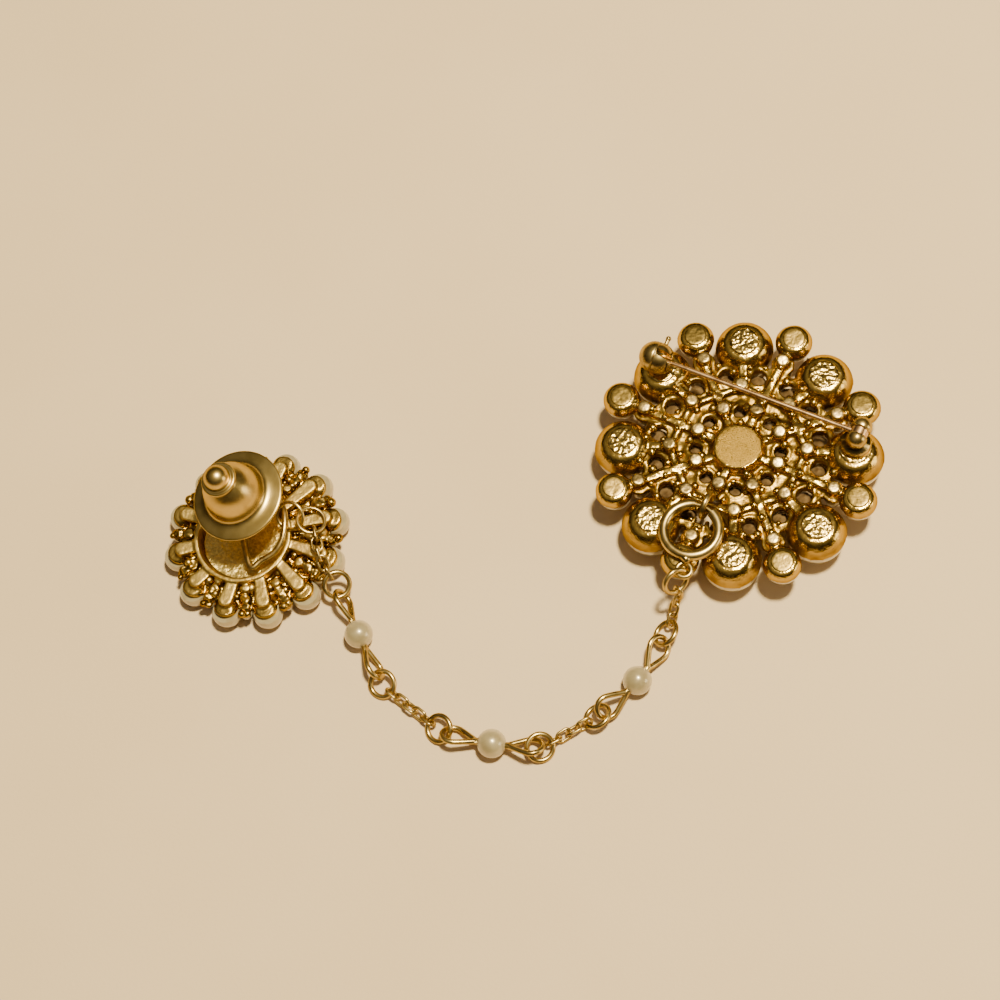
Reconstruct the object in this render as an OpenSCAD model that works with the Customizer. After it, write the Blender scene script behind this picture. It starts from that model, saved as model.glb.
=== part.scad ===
// Chatelaine brooch lying face down: a large openwork cluster with a bar pin,
// a small cluster on a tie-tack clutch, and a chain with three pearls between them.
// Millimetres. The table is z = 0 and every piece stands where it lies.

/* [Place] */
// moves the whole layout so that its box is centred on the origin
shift_x = -0.2; // [-5:0.05:5]
shift_y = -0.2; // [-5:0.05:5]
// centre of the large cluster
big_x = 30.9; // [20:0.1:40]
big_y = 12; // [5:0.1:20]
// turn of the large cluster in degrees
big_turn = -2.6; // [-22:0.1:22]
// centre of the small cluster
tack_x = -37.4; // [-45:0.1:-25]
tack_y = -0.15; // [-5:0.1:5]
// first long tab of the small cluster in degrees
tack_turn = 13.5; // [0:0.5:30]

/* [Large cluster] */
// large rim pearl radius
rim_r = 4; // [3:0.1:5]
// ring of the large rim pearls
rim_ring = 16; // [14:0.1:18]
// small rim pearl radius
rim_small_r = 2.5; // [2:0.1:3]
// ring of the small rim pearls
rim_small_ring = 18.1; // [16:0.1:20]
// height of the small rim pearls' centres
rim_small_z = 5.4; // [4:0.1:6]
// thickness of a pearl's gold cap
cap_wall = 0.2; // [0.15:0.05:0.4]
// openwork plate's radius
plate_r = 13.4; // [12:0.1:14]
// openwork plate's underside
plate_z = 4.8; // [4.5:0.1:5.5]
// openwork plate's thickness
plate_t = 0.8; // [0.6:0.1:1.4]
// centre pad radius
pad_r = 3.4; // [3:0.1:4]
// centre pad's top
pad_top = 7.1; // [7:0.1:8]

/* [Fittings] */
// hinge, x and y
hinge_x = 47.4; // [45:0.1:50]
hinge_y = 12.6; // [10:0.1:15]
// catch, x and y
catch_x = 19.9; // [18:0.1:22]
catch_y = 24.1; // [22:0.1:26]
// height of the bar pin's centre line
pin_z = 10.1; // [9.5:0.1:11]
// bar pin radius
pin_r = 0.35; // [0.3:0.05:0.5]
// bar pin: radius at the hinge, length of its taper there, length of its even shaft
pin_root_r = 0.48; // [0.4:0.01:0.5]
pin_root_l = 3.5; // [3:0.5:5]
pin_shaft_l = 22; // [20:0.5:23]
// stretch of the bar pin past the catch
pin_past = 0.1; // [0:0.1:1]
// turn of the catch sleeve, 0 is open
lever_turn = 0; // [0:5:90]
// lift of the bar pin, 0 is as stored
pin_lift = 0; // [0:5:85]

/* [Clasp] */
// centre of the spring ring, x and y
clasp_x = 24.8; // [22:0.1:28]
clasp_y = -0.9; // [-3:0.1:2]
clasp_z = 8.35; // [8:0.05:9]
// centre-line radius and tube radius
clasp_ring_r = 3.75; // [3:0.05:5]
clasp_tube_r = 0.75; // [0.5:0.05:0.9]
// mouth of the ring in degrees
mouth_from = 42; // [30:1:60]
mouth_to = 82; // [70:1:100]
// bolt radius
bolt_r = 0.35; // [0.3:0.05:0.45]
// loop that hooks on the bolt: centre-line radius, wire radius
loop_r = 1.7; // [1.3:0.05:2]
loop_wire_r = 0.42; // [0.25:0.01:0.5]

/* [Chain] */
// jump rings: centre-line radius, wire radius
jump_r = 1.8; // [1.5:0.025:2.5]
jump_wire_r = 0.35; // [0.3:0.05:0.5]
// end rings: centre-line radius, wire radius
end_r = 1.95; // [1.5:0.05:2.5]
end_wire_r = 0.25; // [0.2:0.05:0.4]
// small links: centre-line length and width, wire radius
link_l = 2.2; // [1.8:0.1:3]
link_w = 1.4; // [1:0.05:1.6]
link_wire_r = 0.21; // [0.15:0.01:0.3]
// eye wires: loop length, width, wire radius
eye_l = 4.65; // [4:0.05:6]
eye_w = 3.2; // [2.5:0.1:4]
eye_wire_r = 0.35; // [0.3:0.05:0.4]
// bend of the eye wire's tight end
eye_tip_r = 0.36; // [0.36:0.02:0.6]
// chain pearl radius and the radius of its drilling
bead_r = 2; // [1.5:0.1:3]
bead_bore_r = 0.45; // [0.4:0.05:0.6]

/* [Small cluster] */
// bowl: offset from the cluster's centre
bowl_dx = -1.4; // [-2.5:0.05:0]
bowl_dy = -0.55; // [-1:0.05:1]
// bowl: outer radius, inner radius, rim top, floor
bowl_r = 7; // [6.5:0.1:7.5]
bowl_inner_r = 6.4; // [6:0.1:6.8]
bowl_top = 5.3; // [5:0.1:6]
bowl_floor = 3.5; // [3.4:0.1:4.2]
// long tabs: end radius, width at the end and at the root, top
tab_end_r = 11.4; // [11:0.1:13]
tab_w = 2; // [1.4:0.1:2.2]
tab_root_w = 1.2; // [1:0.1:1.6]
tab_top = 5.05; // [5:0.05:5.5]
// pearls under the tabs: radius, ring
tab_pearl_r = 2.1; // [1.8:0.1:2.4]
tab_pearl_ring = 11.5; // [11:0.1:12]
// small pearls between them: radius, ring, height
gap_pearl_r = 0.85; // [0.7:0.05:1.2]
gap_pearl_ring = 11.3; // [11:0.1:12]
gap_pearl_z = 2.6; // [2:0.1:3]
// tack post: foot from the cluster's centre, radius, length
post_dx = 0.85; // [-1:0.05:2]
post_dy = 3.05; // [2:0.05:4]
post_r = 0.5; // [0.4:0.05:0.6]
post_l = 12.5; // [10:0.5:13]
// lean of the post in degrees, and the heading of the lean
post_lean = 9.5; // [0:0.5:18]
post_heading = 194; // [170:1:210]
// clutch: height up the post, brim radius
clutch_up = 8.6; // [7:0.05:9]
brim_r = 6.65; // [6:0.05:7]

/* [Hidden] */
$fn = 48;
clear = 0.08;
flat_back = 2;
small_flat_back = 1.2;
collar_top = 5.8;
web_z = 2.65;
web_top = 3.4;
link_stations = 6;
wire_sides = 6;
eye_sides = 8;
// gold caps on the rim pearls: dome from low to high, flat disc on top
cap_low = 0.5;
cap_high = 3.1;
cap_disc_r = 2;
cap_disc_top = 3.4;
small_cap_low = 0.3;
small_cap_high = 1.85;
small_cap_disc_r = 1.5;
small_cap_disc_top = 1.95;
// width and height of the openwork's spokes and bars
spoke_w = 1.1;
rib_w = 1.3;
rib_h = 1.4;
// hinge: ball radius, ball offset, slot width, rivet radius, eye radius
hinge_ball_r = 1.45;
hinge_ball_dx = 0.95;
hinge_slot_w = 1.1;
rivet_r = 0.4;
pin_eye_r = 1.2;
pin_eye_w = 0.9;
seat_z = 7.2;
// catch: ball radius, cradle radius, throat width, lip thickness, foot radius
catch_r = 2.25;
cradle_r = 1.2;
throat_w = 1;
lip_t = 0.18;
catch_foot_r = 0.95;
// cut between the fixed half of the catch and its sleeve
sleeve_from = -1.6;
sleeve_to = 0.25;
ball_from = 0.35;
ball_dx = 0.6;
// lever of the catch
lever_lean = 12;
lever_wire_r = 0.3;
lever_l = 3.1;
lever_knob_r = 0.38;
lever_dx = -0.15;
// clasp: heading and radius of its eye, joint of the eye
eye_heading = -99;
clasp_eye_ring = 5.7;
clasp_eye_r = 1;
clasp_eye_wire_r = 0.35;
bolt_play = 0.1;
// small cluster: web radius, height where the tabs start
web_r = 10.8;
tab_low = 3.8;
tab_from = 4.4;
pin_even = pin_root_l + pin_shaft_l;
pin_neck_r = 0.28;
pin_dx = catch_x - hinge_x;
pin_dy = catch_y - hinge_y;
pin_l = sqrt(pin_dx * pin_dx + pin_dy * pin_dy);
pin_turn = atan2(pin_dy, pin_dx);

// rings of the large cluster's front: ring radius, first angle, count, stone or pearl radius
front_pearls = [
  [6.6, 22.5, 8, 1.1, 3.9],
  [9.3, 0, 8, 1.4, 3.8],
  [14.5, 22.5, 8, 1.3, 3.5],
];
front_stones = [
  [5.9, 0, 8, 0.95],
  [11.4, 11.25, 16, 1.2],
];
// posts of the openwork: ring radius, first angle, radius, top
posts = [
  [6.1, 22.5, 1, 7.5],
  [9.5, 0, 1, 7.4],
  [14.5, 22.5, 0.9, 7.2],
];

// jump rings: x, y, z, heading, roll, pitch
jump_places = [
  [-24.95, -7.25, 3.15, -61, -5, -34],
  [-17.75, -21.1, 1.2, -43, 27, -6],
  [-9.4, -27.35, 1.2, -31, 26, 9],
  [4.65, -29.75, 1.25, 20, 26, -10],
  [12.25, -25.3, 1.3, 44, 149, 4],
  [21.25, -13.45, 1.5, 73, -38, -3],
  [22.85, -7.95, 7.25, 64, 57, 40],
];
// pearls with their eye wires: x, y, z, heading, roll, pitch, bend
bead_places = [
  [-21.5, -14.15, 2, -62, -63, -2, 0],
  [-1.9, -29.55, 2, -8, -38, 2, 7],
  [17.6, -20.4, 2, 52, 44, -2, 12],
];
// end rings on the small cluster: x, y, z, heading, roll, pitch
end_places = [
  [-31.7, 1.7, 6.8, 15, 29, 21],
  [-28.7, 1.15, 6.45, -77, -20, 2],
];
// small links at the small cluster: x, y, z, heading, roll, pitch
links_tack = [
  [-27.9, -0.8, 6.3, -75, 89, -5],
  [-27.6, -2.35, 6.2, -77, -180, -2],
  [-27.25, -3.75, 6.2, -70, 86, -20],
  [-26.7, -4.85, 5.35, -65, 177, -34],
  [-26, -5.9, 4.35, -55, 92, -40],
];
// small links after the first pearl
links_low = [
  [-16.2, -22.45, 1, -38, -57, -5],
  [-14.9, -23.4, 1, -35, 44, 0],
  [-13.65, -24.35, 1, -36, -45, 0],
  [-12.35, -25.25, 1, -37, 44, 0],
  [-11.05, -26.2, 1, -35, -59, 3],
];
// small links after the second pearl
links_mid = [
  [6.45, -28.8, 1.05, 30, -59, -3],
  [7.8, -27.95, 1, 35, 43, 1],
  [9.15, -27.15, 1, 32, -44, 1],
  [10.5, -26.35, 1, 29, 55, 2],
];
// small links at the clasp
links_clasp = [
  [22.05, -11.55, 1.65, 71, 52, 17],
  [22.35, -10.25, 2.45, 68, 151, 44],
  [22.85, -9.35, 3.7, 62, -104, 57],
  [23.05, -8.85, 5.2, 54, -11, 74],
];
// thick wire loop round the tack post: points of its centre line
tack_loop_points = [
  [-36.9, -5.6, 5.4],
  [-35.7, -4.7, 5.5],
  [-33.8, -3.5, 5.7],
  [-32.7, -1.8, 6.15],
  [-32.4, 0.8, 6.6],
  [-33, 3.2, 6.4],
  [-35, 4.9, 6],
  [-37.3, 4.6, 5.7],
  [-38.6, 2.9, 5.6],
  [-38.6, 0, 5.5],
  [-38, -3, 5.4],
];

// a point on a ring of radius r at angle a
module polar(r, a) {
  rotate(a) translate([r, 0, 0]) children();
}

// the large cluster's own frame
module big() {
  translate([big_x, big_y, 0]) rotate(big_turn) children();
}

// the small cluster's own frame
module tack() {
  translate([tack_x, tack_y, 0]) rotate(tack_turn) children();
}

// x, y, z, heading, roll and pitch of one chain piece
module place(p) {
  translate([p[0], p[1], p[2]])
    rotate([0, 0, p[3]])
      rotate([0, -p[5], 0])
        rotate([p[4], 0, 0])
          children();
}

// the whole layout moved to the middle of its box
module laid() {
  translate([shift_x, shift_y, 0]) children();
}

// closed tube of radius r along the points p, with s sides
module wire(p, r, s) {
  n = len(p);
  points = [
    for (i = [0:n - 1])
      let (
        t = p[(i + 1) % n] - p[(i + n - 1) % n],
        side = cross(t, [0, 0, 1]) / norm(cross(t, [0, 0, 1])),
        up = cross(side, t) / norm(t)
      )
      for (k = [0:s - 1])
        p[i] + r * (cos(360 * k / s) * side + sin(360 * k / s) * up)
  ];
  faces = [
    for (i = [0:n - 1])
      for (k = [0:s - 1])
        let (
          a = i * s + k,
          b = i * s + (k + 1) % s,
          c = ((i + 1) % n) * s + (k + 1) % s,
          d = ((i + 1) % n) * s + k
        )
        for (f = [[a, b, c], [a, c, d]]) f
  ];
  polyhedron(points = points, faces = faces);
}

// centre line with straight sides and round ends, m steps on each end
function racetrack(l, w, m) = [
  for (e = [0, 1])
    for (k = [0:m])
      let (a = -90 + 180 * k / m + 180 * e, s = (l - w) / 2 * (1 - 2 * e))
      [s + w / 2 * cos(a), w / 2 * sin(a), 0]
];

// centre line from a tight tip at x = 0 to a round end, m steps on the end
function teardrop(l, w, tip_r, m) =
  let (c = l - w / 2, lean = asin((w / 2 - tip_r) / (c - tip_r)), a = 90 + lean)
  concat(
    [for (k = [0:m]) let (t = -a + 2 * a * k / m) [c + w / 2 * cos(t), w / 2 * sin(t), 0]],
    [for (k = [0:3]) let (t = a + (360 - 2 * a) * k / 3) [tip_r + tip_r * cos(t), tip_r * sin(t), 0]]
  );

// smooth closed curve through the points p, m steps between two of them
function curve(p, m) =
  let (n = len(p))
  [
    for (i = [0:n - 1])
      let (a = p[(i + n - 1) % n], b = p[i], c = p[(i + 1) % n], d = p[(i + 2) % n])
      for (k = [0:m - 1])
        let (t = k / m)
        0.5 * (2 * b + (c - a) * t + (2 * a - 5 * b + 4 * c - d) * t * t
          + (3 * b - a - 3 * c + d) * t * t * t)
  ];

module ring(r, wire_r) {
  rotate_extrude() translate([r, 0]) circle(wire_r, $fn = 24);
}

// part of a ring from angle a to angle b
module ring_part(r, wire_r, a, b) {
  rotate(a) rotate_extrude(angle = b - a) translate([r, 0]) circle(wire_r, $fn = 24);
}

module jump_ring(i) {
  color("DarkKhaki") laid() place(jump_places[i]) ring(jump_r, jump_wire_r);
}

module end_ring(i) {
  color("DarkKhaki") laid() place(end_places[i]) ring(end_r, end_wire_r);
}

module cable_links(places) {
  color("DarkKhaki") laid()
    for (p = places)
      place(p) wire(racetrack(link_l, link_w, link_stations), link_wire_r, wire_sides);
}

// a wire through one pearl with a long loop on each side, each bent a little at the pearl
module eye_wire(i) {
  p = bead_places[i];
  bend = p[6];
  color("DarkKhaki") laid() {
    place(p) rotate([0, 90, 0]) cylinder(r = eye_wire_r, h = 2 * bead_r + 1.3, center = true, $fn = 16);
    for (side = [-1, 1])
      bent(p, side * bend, side * (bead_r + 0.1))
        rotate(side > 0 ? 0 : 180)
          translate([bead_r + 0.45, 0, 0]) wire(teardrop(eye_l, eye_w, eye_tip_r, 12), eye_wire_r, eye_sides);
  }
}

// places like p but swung by a about the point at x on the wire
module bent(p, a, x) {
  q = [cos(p[5]) * x, 0, sin(p[5]) * x];
  hub = [cos(p[3]) * q[0], sin(p[3]) * q[0], q[2]];
  translate([p[0], p[1], p[2]]) translate(hub) rotate(a) translate(-hub) rotate([0, 0, p[3]])
    rotate([0, -p[5], 0])
      rotate([p[4], 0, 0])
        children();
}

module chain_pearl(i) {
  color("Ivory") laid() place(bead_places[i]) rotate([0, 90, 0])
    difference() {
      sphere(bead_r);
      cylinder(r = bead_bore_r, h = 3 * bead_r, center = true);
    }
}

// a pearl with its back cut flat at height cut above its centre
module pearl(r, cut) {
  difference() {
    sphere(r);
    translate([-2 * r, -2 * r, cut]) cube(4 * r);
  }
}

// solid ball zone between two heights
module zone(r, low, high) {
  intersection() {
    sphere(r);
    translate([0, 0, low]) cylinder(r = 2 * r, h = high - low);
  }
}

// gold cap of a large rim pearl: dome and flat disc
module large_cap() {
  zone(rim_r + cap_wall, cap_low, cap_high);
  cylinder(r = cap_disc_r, h = cap_disc_top);
}

module small_cap() {
  zone(rim_small_r + cap_wall, small_cap_low, small_cap_high);
  cylinder(r = small_cap_disc_r, h = small_cap_disc_top);
}

// cut stone, table down at z = 0: octagon table, girdle and point
module cut_stone(r) {
  table_r = 0.6 * r;
  girdle_z = 0.35 * r;
  depth = 0.9 * r;
  ring_points = [
    for (k = [0:7]) [table_r * cos(45 * k), table_r * sin(45 * k), 0],
    for (k = [0:7]) [r * cos(45 * k + 22.5), r * sin(45 * k + 22.5), girdle_z],
    for (k = [0:7]) [r * cos(45 * k + 22.5), r * sin(45 * k + 22.5), girdle_z + 0.08 * r],
    [0, 0, girdle_z + depth]
  ];
  faces = [
    [for (k = [0:7]) k],
    for (k = [0:7]) [k, 8 + k, (k + 1) % 8],
    for (k = [0:7]) [(k + 1) % 8, 8 + k, 8 + (k + 1) % 8],
    for (k = [0:7]) [8 + k, 16 + k, 8 + (k + 1) % 8],
    for (k = [0:7]) [8 + (k + 1) % 8, 16 + k, 16 + (k + 1) % 8],
    for (k = [0:7]) [16 + k, 24, 16 + (k + 1) % 8]
  ];
  polyhedron(points = ring_points, faces = faces);
}

module large_places() {
  for (k = [0:7]) polar(rim_ring, 45 * k) translate([0, 0, rim_r]) children();
}

module small_places() {
  for (k = [0:7]) polar(rim_small_ring, 45 * k + 22.5) translate([0, 0, rim_small_z]) children();
}

// the openwork between the pad and the rim
module openwork() {
  // plate with scallops out to the small caps
  translate([0, 0, plate_z]) cylinder(r = plate_r, h = plate_t);
  for (k = [0:7]) {
    a = 45 * k + 22.5;
    polar(14.5, a) translate([0, 0, plate_z]) cylinder(r = 1.6, h = plate_t);
    // spokes to the outer posts and on to the small caps
    rotate(a) translate([3, -spoke_w / 2, plate_z + 0.3]) cube([11.5, spoke_w, rib_h]);
    rotate(a) translate([14, -0.7, plate_z + 0.45]) cube([2.5, 1.4, 1.5]);
    // bridges from the posts to the large caps
    rotate(45 * k) translate([9.5, -rib_w / 2, plate_z + 0.35]) cube([3.5, rib_w, rib_h]);
    // bars between the posts of the second ring
    rotate(a) translate([8.3, -3.4, plate_z + 0.25]) cube([0.9, 6.8, rib_h - 0.1]);
  }
  for (row = posts)
    for (k = [0:7])
      polar(row[0], 45 * k + row[1]) translate([0, 0, plate_z + 0.1])
        cylinder(r = row[2], h = row[3] - plate_z - 0.1, $fn = 24);
  // collars round the see-through gaps, holding the stones below
  for (row = front_stones)
    for (k = [0:row[2] - 1])
      polar(row[0], 360 / row[2] * k + row[1]) {
        translate([0, 0, 3.7]) cylinder(r = row[3] + 0.25, h = 1.5, $fn = 24);
        translate([0, 0, 5.1]) cylinder(r = row[3] + 0.4, h = collar_top - 5.1, $fn = 24);
      }
}

module gaps() {
  for (row = front_stones)
    for (k = [0:row[2] - 1])
      polar(row[0], 360 / row[2] * k + row[1]) {
        translate([0, 0, 3]) cylinder(r = row[3] + 0.1, h = plate_z - 3, $fn = 24);
        cylinder(r = row[3] - 0.1, h = 12, $fn = 24);
      }
}

// the bar that the chain's loop hangs on, with room round it
module anchor_room() {
  polar(9.5, -112.5) {
    translate([-1.7, -1.1, 4]) cube([3.5, 2.2, 8]);
    translate([0, -0.65, 4.02]) cube([2.7, 1.3, 8]);
  }
}

module anchor_bar() {
  polar(9.5, -112.5) translate([0, 0, 7]) rotate([90, 0, 0])
    cylinder(r = 0.35, h = 7.2, center = true, $fn = 24);
}

module hinge_seat() {
  translate([hinge_x - 0.4, hinge_y - 0.7, seat_z]) cylinder(r = 2, h = 2);
  translate([hinge_x, hinge_y, pin_z]) rotate(pin_turn)
    for (s = [-1, 1])
      translate([0, hinge_ball_dx * s, 0]) sphere(hinge_ball_r);
}

module hinge_slot() {
  translate([hinge_x, hinge_y, pin_z]) rotate(pin_turn)
    translate([-4, -hinge_slot_w / 2, -1.4]) cube([8.5, hinge_slot_w, 4]);
}

module rivet() {
  translate([hinge_x, hinge_y, pin_z]) rotate(pin_turn) rotate([90, 0, 0])
    cylinder(r = rivet_r, h = 2, center = true, $fn = 24);
}

module at_catch() {
  translate([catch_x, catch_y, pin_z]) rotate(pin_turn) children();
}

// open cradle of the safety catch inside its sleeve, with the fixed half ball and its foot
module catch_housing() {
  at_catch() difference() {
    union() {
      rotate([0, 90, 0]) intersection() {
        translate([0, 0, ball_dx]) sphere(catch_r);
        translate([0, 0, ball_from]) cylinder(r = 4, h = 4);
      }
      rotate([0, 90, 0]) translate([0, 0, -1.8]) cylinder(r = cradle_r, h = 2.35);
      rotate([0, 90, 0]) translate([0, 0, -1.85]) cylinder(r = cradle_r + 0.2, h = lip_t);
      translate([1.4, 0, seat_z - pin_z]) cylinder(r = catch_foot_r, h = 1.8);
    }
    translate([-3, -throat_w / 2, -throat_w / 2]) cube([3.2, throat_w, 4]);
  }
}

module brooch_frame() {
  color("Goldenrod") laid() {
    difference() {
      union() {
        big() difference() {
          union() {
            difference() {
              openwork();
              gaps();
              anchor_room();
            }
            large_places() large_cap();
            small_places() small_cap();
            translate([0, 0, rim_r]) zone(rim_r + cap_wall, 1, 3);
            translate([0, 0, 6.2]) cylinder(r = pad_r, h = pad_top - 6.2);
            anchor_bar();
          }
          large_places() pearl(rim_r + clear, flat_back + clear);
          small_places() pearl(rim_small_r + clear, small_flat_back + clear);
          translate([0, 0, rim_r]) pearl(rim_r + clear, flat_back + clear);
        }
        hinge_seat();
      }
      hinge_slot();
    }
    rivet();
    catch_housing();
  }
}

module rim_pearl_large(k) {
  color("Ivory") laid() big() polar(rim_ring, 45 * k) translate([0, 0, rim_r]) pearl(rim_r, flat_back);
}

module rim_pearl_small(k) {
  color("Ivory") laid() big() polar(rim_small_ring, 45 * k + 22.5) translate([0, 0, rim_small_z])
    pearl(rim_small_r, small_flat_back);
}

module centre_pearl() {
  color("Ivory") laid() big() translate([0, 0, rim_r]) pearl(rim_r, flat_back);
}

// small pearls of the hidden front
module inner_pearls() {
  color("Ivory") laid() big()
    for (row = front_pearls)
      for (k = [0:row[2] - 1])
        polar(row[0], 45 * k + row[1]) translate([0, 0, row[4]]) pearl(row[3], 0.6 * row[3]);
}

// cut stones of the hidden front, seen through the gaps
module inner_stones() {
  color("DimGray") laid() big()
    for (row = front_stones)
      for (k = [0:row[2] - 1])
        polar(row[0], 360 / row[2] * k + row[1])
          translate([0, 0, plate_z - 0.1 - 1.25 * row[3]]) cut_stone(row[3]);
}

module pin_stem() {
  color("RosyBrown") laid()
    translate([hinge_x, hinge_y, pin_z]) rotate(pin_turn) rotate([0, -pin_lift, 0])
      difference() {
        union() {
          rotate([90, 0, 0]) cylinder(r = pin_eye_r, h = pin_eye_w, center = true);
          rotate([0, 90, 0]) cylinder(r1 = pin_root_r, r2 = pin_r, h = pin_root_l, $fn = 24);
          translate([pin_root_l, 0, 0]) rotate([0, 90, 0]) cylinder(r = pin_r, h = pin_shaft_l, $fn = 24);
          translate([pin_even, 0, 0]) rotate([0, 90, 0])
            cylinder(r1 = pin_r, r2 = pin_neck_r, h = pin_l + pin_past - 1.2 - pin_even, $fn = 24);
          translate([pin_l + pin_past - 1.2, 0, 0]) rotate([0, 90, 0])
            cylinder(r1 = pin_neck_r, r2 = 0.08, h = 1.2, $fn = 24);
        }
        rotate([90, 0, 0]) cylinder(r = rivet_r + 0.05, h = 3, center = true, $fn = 24);
      }
}

// turning sleeve of the catch with its throat upward and its lever
module catch_lever() {
  color("DarkKhaki") laid() at_catch() rotate([-lever_turn, 0, 0])
    difference() {
      union() {
        rotate([0, 90, 0]) intersection() {
          sphere(catch_r);
          translate([0, 0, sleeve_from]) cylinder(r = 4, h = sleeve_to - sleeve_from);
        }
        translate([lever_dx, 0, 0]) rotate([90 - lever_lean, 0, 0]) {
          translate([0, 0, 1.6]) cylinder(r = lever_wire_r, h = lever_l - 1.6, $fn = 24);
          translate([0, 0, lever_l]) sphere(lever_knob_r, $fn = 24);
        }
      }
      rotate([0, 90, 0]) cylinder(r = cradle_r + clear, h = 5, center = true);
      translate([-3, -throat_w / 2, 0]) cube([5, throat_w, 4]);
    }
}

module at_clasp() {
  translate([clasp_x, clasp_y, clasp_z]) children();
}

module clasp_ring() {
  color("DarkKhaki") laid() at_clasp() {
    difference() {
      union() {
        ring_part(clasp_ring_r, clasp_tube_r, mouth_to, mouth_from + 360);
        polar(clasp_ring_r + 0.55, eye_heading) sphere(0.75);
        polar(clasp_eye_ring, eye_heading) translate([0, 0, -0.6]) ring(clasp_eye_r, clasp_eye_wire_r);
      }
      // channel of the bolt, its socket and the slot of its thumb knob
      ring_part(clasp_ring_r, bolt_r + bolt_play, mouth_to - 4, mouth_to + 86);
      ring_part(clasp_ring_r, bolt_r + bolt_play, mouth_from - 6, mouth_from + 4);
      rotate(mouth_to + 18) rotate_extrude(angle = 58) translate([clasp_ring_r - 0.3, -1]) square([0.6, 1]);
    }
  }
}

module clasp_bolt() {
  color("DarkKhaki") laid() at_clasp() {
    ring_part(clasp_ring_r, bolt_r, mouth_from - 4, mouth_to + 38);
    polar(clasp_ring_r, mouth_to + 24) translate([0, 0, -0.95]) cylinder(r = 0.22, h = 0.9, $fn = 16);
    polar(clasp_ring_r, mouth_to + 24) translate([0, 0, -0.95]) sphere(0.3, $fn = 16);
  }
}

module frame_loop() {
  color("DarkKhaki") laid() translate([26.75, 2.95, 7.7]) rotate([0, 0, 68]) rotate([90, 0, 0])
    ring(loop_r, loop_wire_r);
}

module tab_places() {
  for (k = [0:11]) rotate(30 * k) children();
}

// the bowl stands off the cluster's centre
module at_bowl() {
  rotate(-tack_turn) translate([bowl_dx, bowl_dy, 0]) children();
}

// flat tab that widens to a round end
module tab() {
  end_x = tab_end_r - tab_w / 2;
  translate([0, 0, tab_low]) linear_extrude(tab_top - tab_low)
    polygon([[tab_from, -tab_root_w / 2], [end_x, -tab_w / 2], [end_x, tab_w / 2], [tab_from, tab_root_w / 2]]);
  translate([end_x, 0, tab_low - 0.01]) cylinder(r = tab_w / 2, h = tab_top - tab_low + 0.02, $fn = 24);
  translate([5, -0.4, 3.1]) cube([4.6, 0.8, 1.1]);
}

// cap over a tab's pearl, smaller than the pearl and set inward
module tab_cap() {
  intersection() {
    translate([tab_pearl_ring, 0, tab_pearl_r]) zone(tab_pearl_r + cap_wall, 0.6, 2);
    translate([tab_pearl_ring - 0.6, 0, 0]) cylinder(r = 1.75, h = 6);
  }
}

module tack_frame() {
  color("Goldenrod") laid() tack() {
    difference() {
      union() {
        at_bowl() translate([0, 0, 3]) cylinder(r = bowl_r, h = bowl_top - 3);
        // web round the bowl with its small posts
        difference() {
          translate([0, 0, web_z]) cylinder(r = web_r, h = web_top - web_z);
          at_bowl() translate([0, 0, 2]) cylinder(r = bowl_r - 0.3, h = 3);
        }
        tab_places() {
          tab();
          tab_cap();
        }
        tab_places() rotate(15) {
          translate([gap_pearl_ring, 0, gap_pearl_z]) zone(gap_pearl_r + cap_wall, 0.3, 1);
          translate([10, -0.6, 3.1]) cube([1.3, 1.2, 0.9]);
          translate([9.6, 0, 3]) cylinder(r = 0.75, h = 1.3, $fn = 24);
          translate([8.2, 0, 3]) cylinder(r = 0.6, h = 1.7, $fn = 24);
        }
      }
      at_bowl() translate([0, 0, bowl_floor])
        cylinder(r1 = bowl_inner_r - 0.5, r2 = bowl_inner_r + 0.02, h = bowl_top - bowl_floor + 0.05);
      tab_places() translate([tab_pearl_ring, 0, tab_pearl_r]) pearl(tab_pearl_r + clear, 1 + clear);
      tab_places() rotate(15)
        translate([gap_pearl_ring, 0, gap_pearl_z]) pearl(gap_pearl_r + clear, 0.5 + clear);
    }
    tack_post();
  }
}

// the post's own axis, with z up the post from its foot
module at_post() {
  rotate(-tack_turn) translate([post_dx, post_dy, bowl_floor]) rotate([0, 0, post_heading])
    rotate([0, post_lean, 0]) children();
}

module tack_post() {
  at_post() translate([0, 0, -0.4]) cylinder(r = post_r, h = post_l - 0.6, $fn = 24);
  at_post() translate([0, 0, post_l - 1]) cylinder(r1 = post_r, r2 = 0.15, h = 1, $fn = 24);
  at_post() cylinder(r1 = 0.9, r2 = post_r, h = 0.5, $fn = 24);
}

module tack_rim_pearls() {
  color("Ivory") laid() tack() tab_places()
    translate([tab_pearl_ring, 0, tab_pearl_r]) pearl(tab_pearl_r, 1);
}

module tack_small_pearls() {
  color("Ivory") laid() tack() tab_places() rotate(15)
    translate([gap_pearl_ring, 0, gap_pearl_z]) pearl(gap_pearl_r, 0.5);
}

// half-round pearl in the middle of the hidden front
module tack_centre_pearl() {
  color("Ivory") laid() tack() rotate([180, 0, 0]) translate([0, 0, -2.9])
    intersection() {
      translate([0, 0, -1.9]) sphere(4.8);
      cylinder(r = 6, h = 4);
    }
}

module tack_stones() {
  color("DimGray") laid() tack()
    tab_places() rotate(15) translate([7.9, 0, 1.1]) cut_stone(1.1);
}

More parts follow.
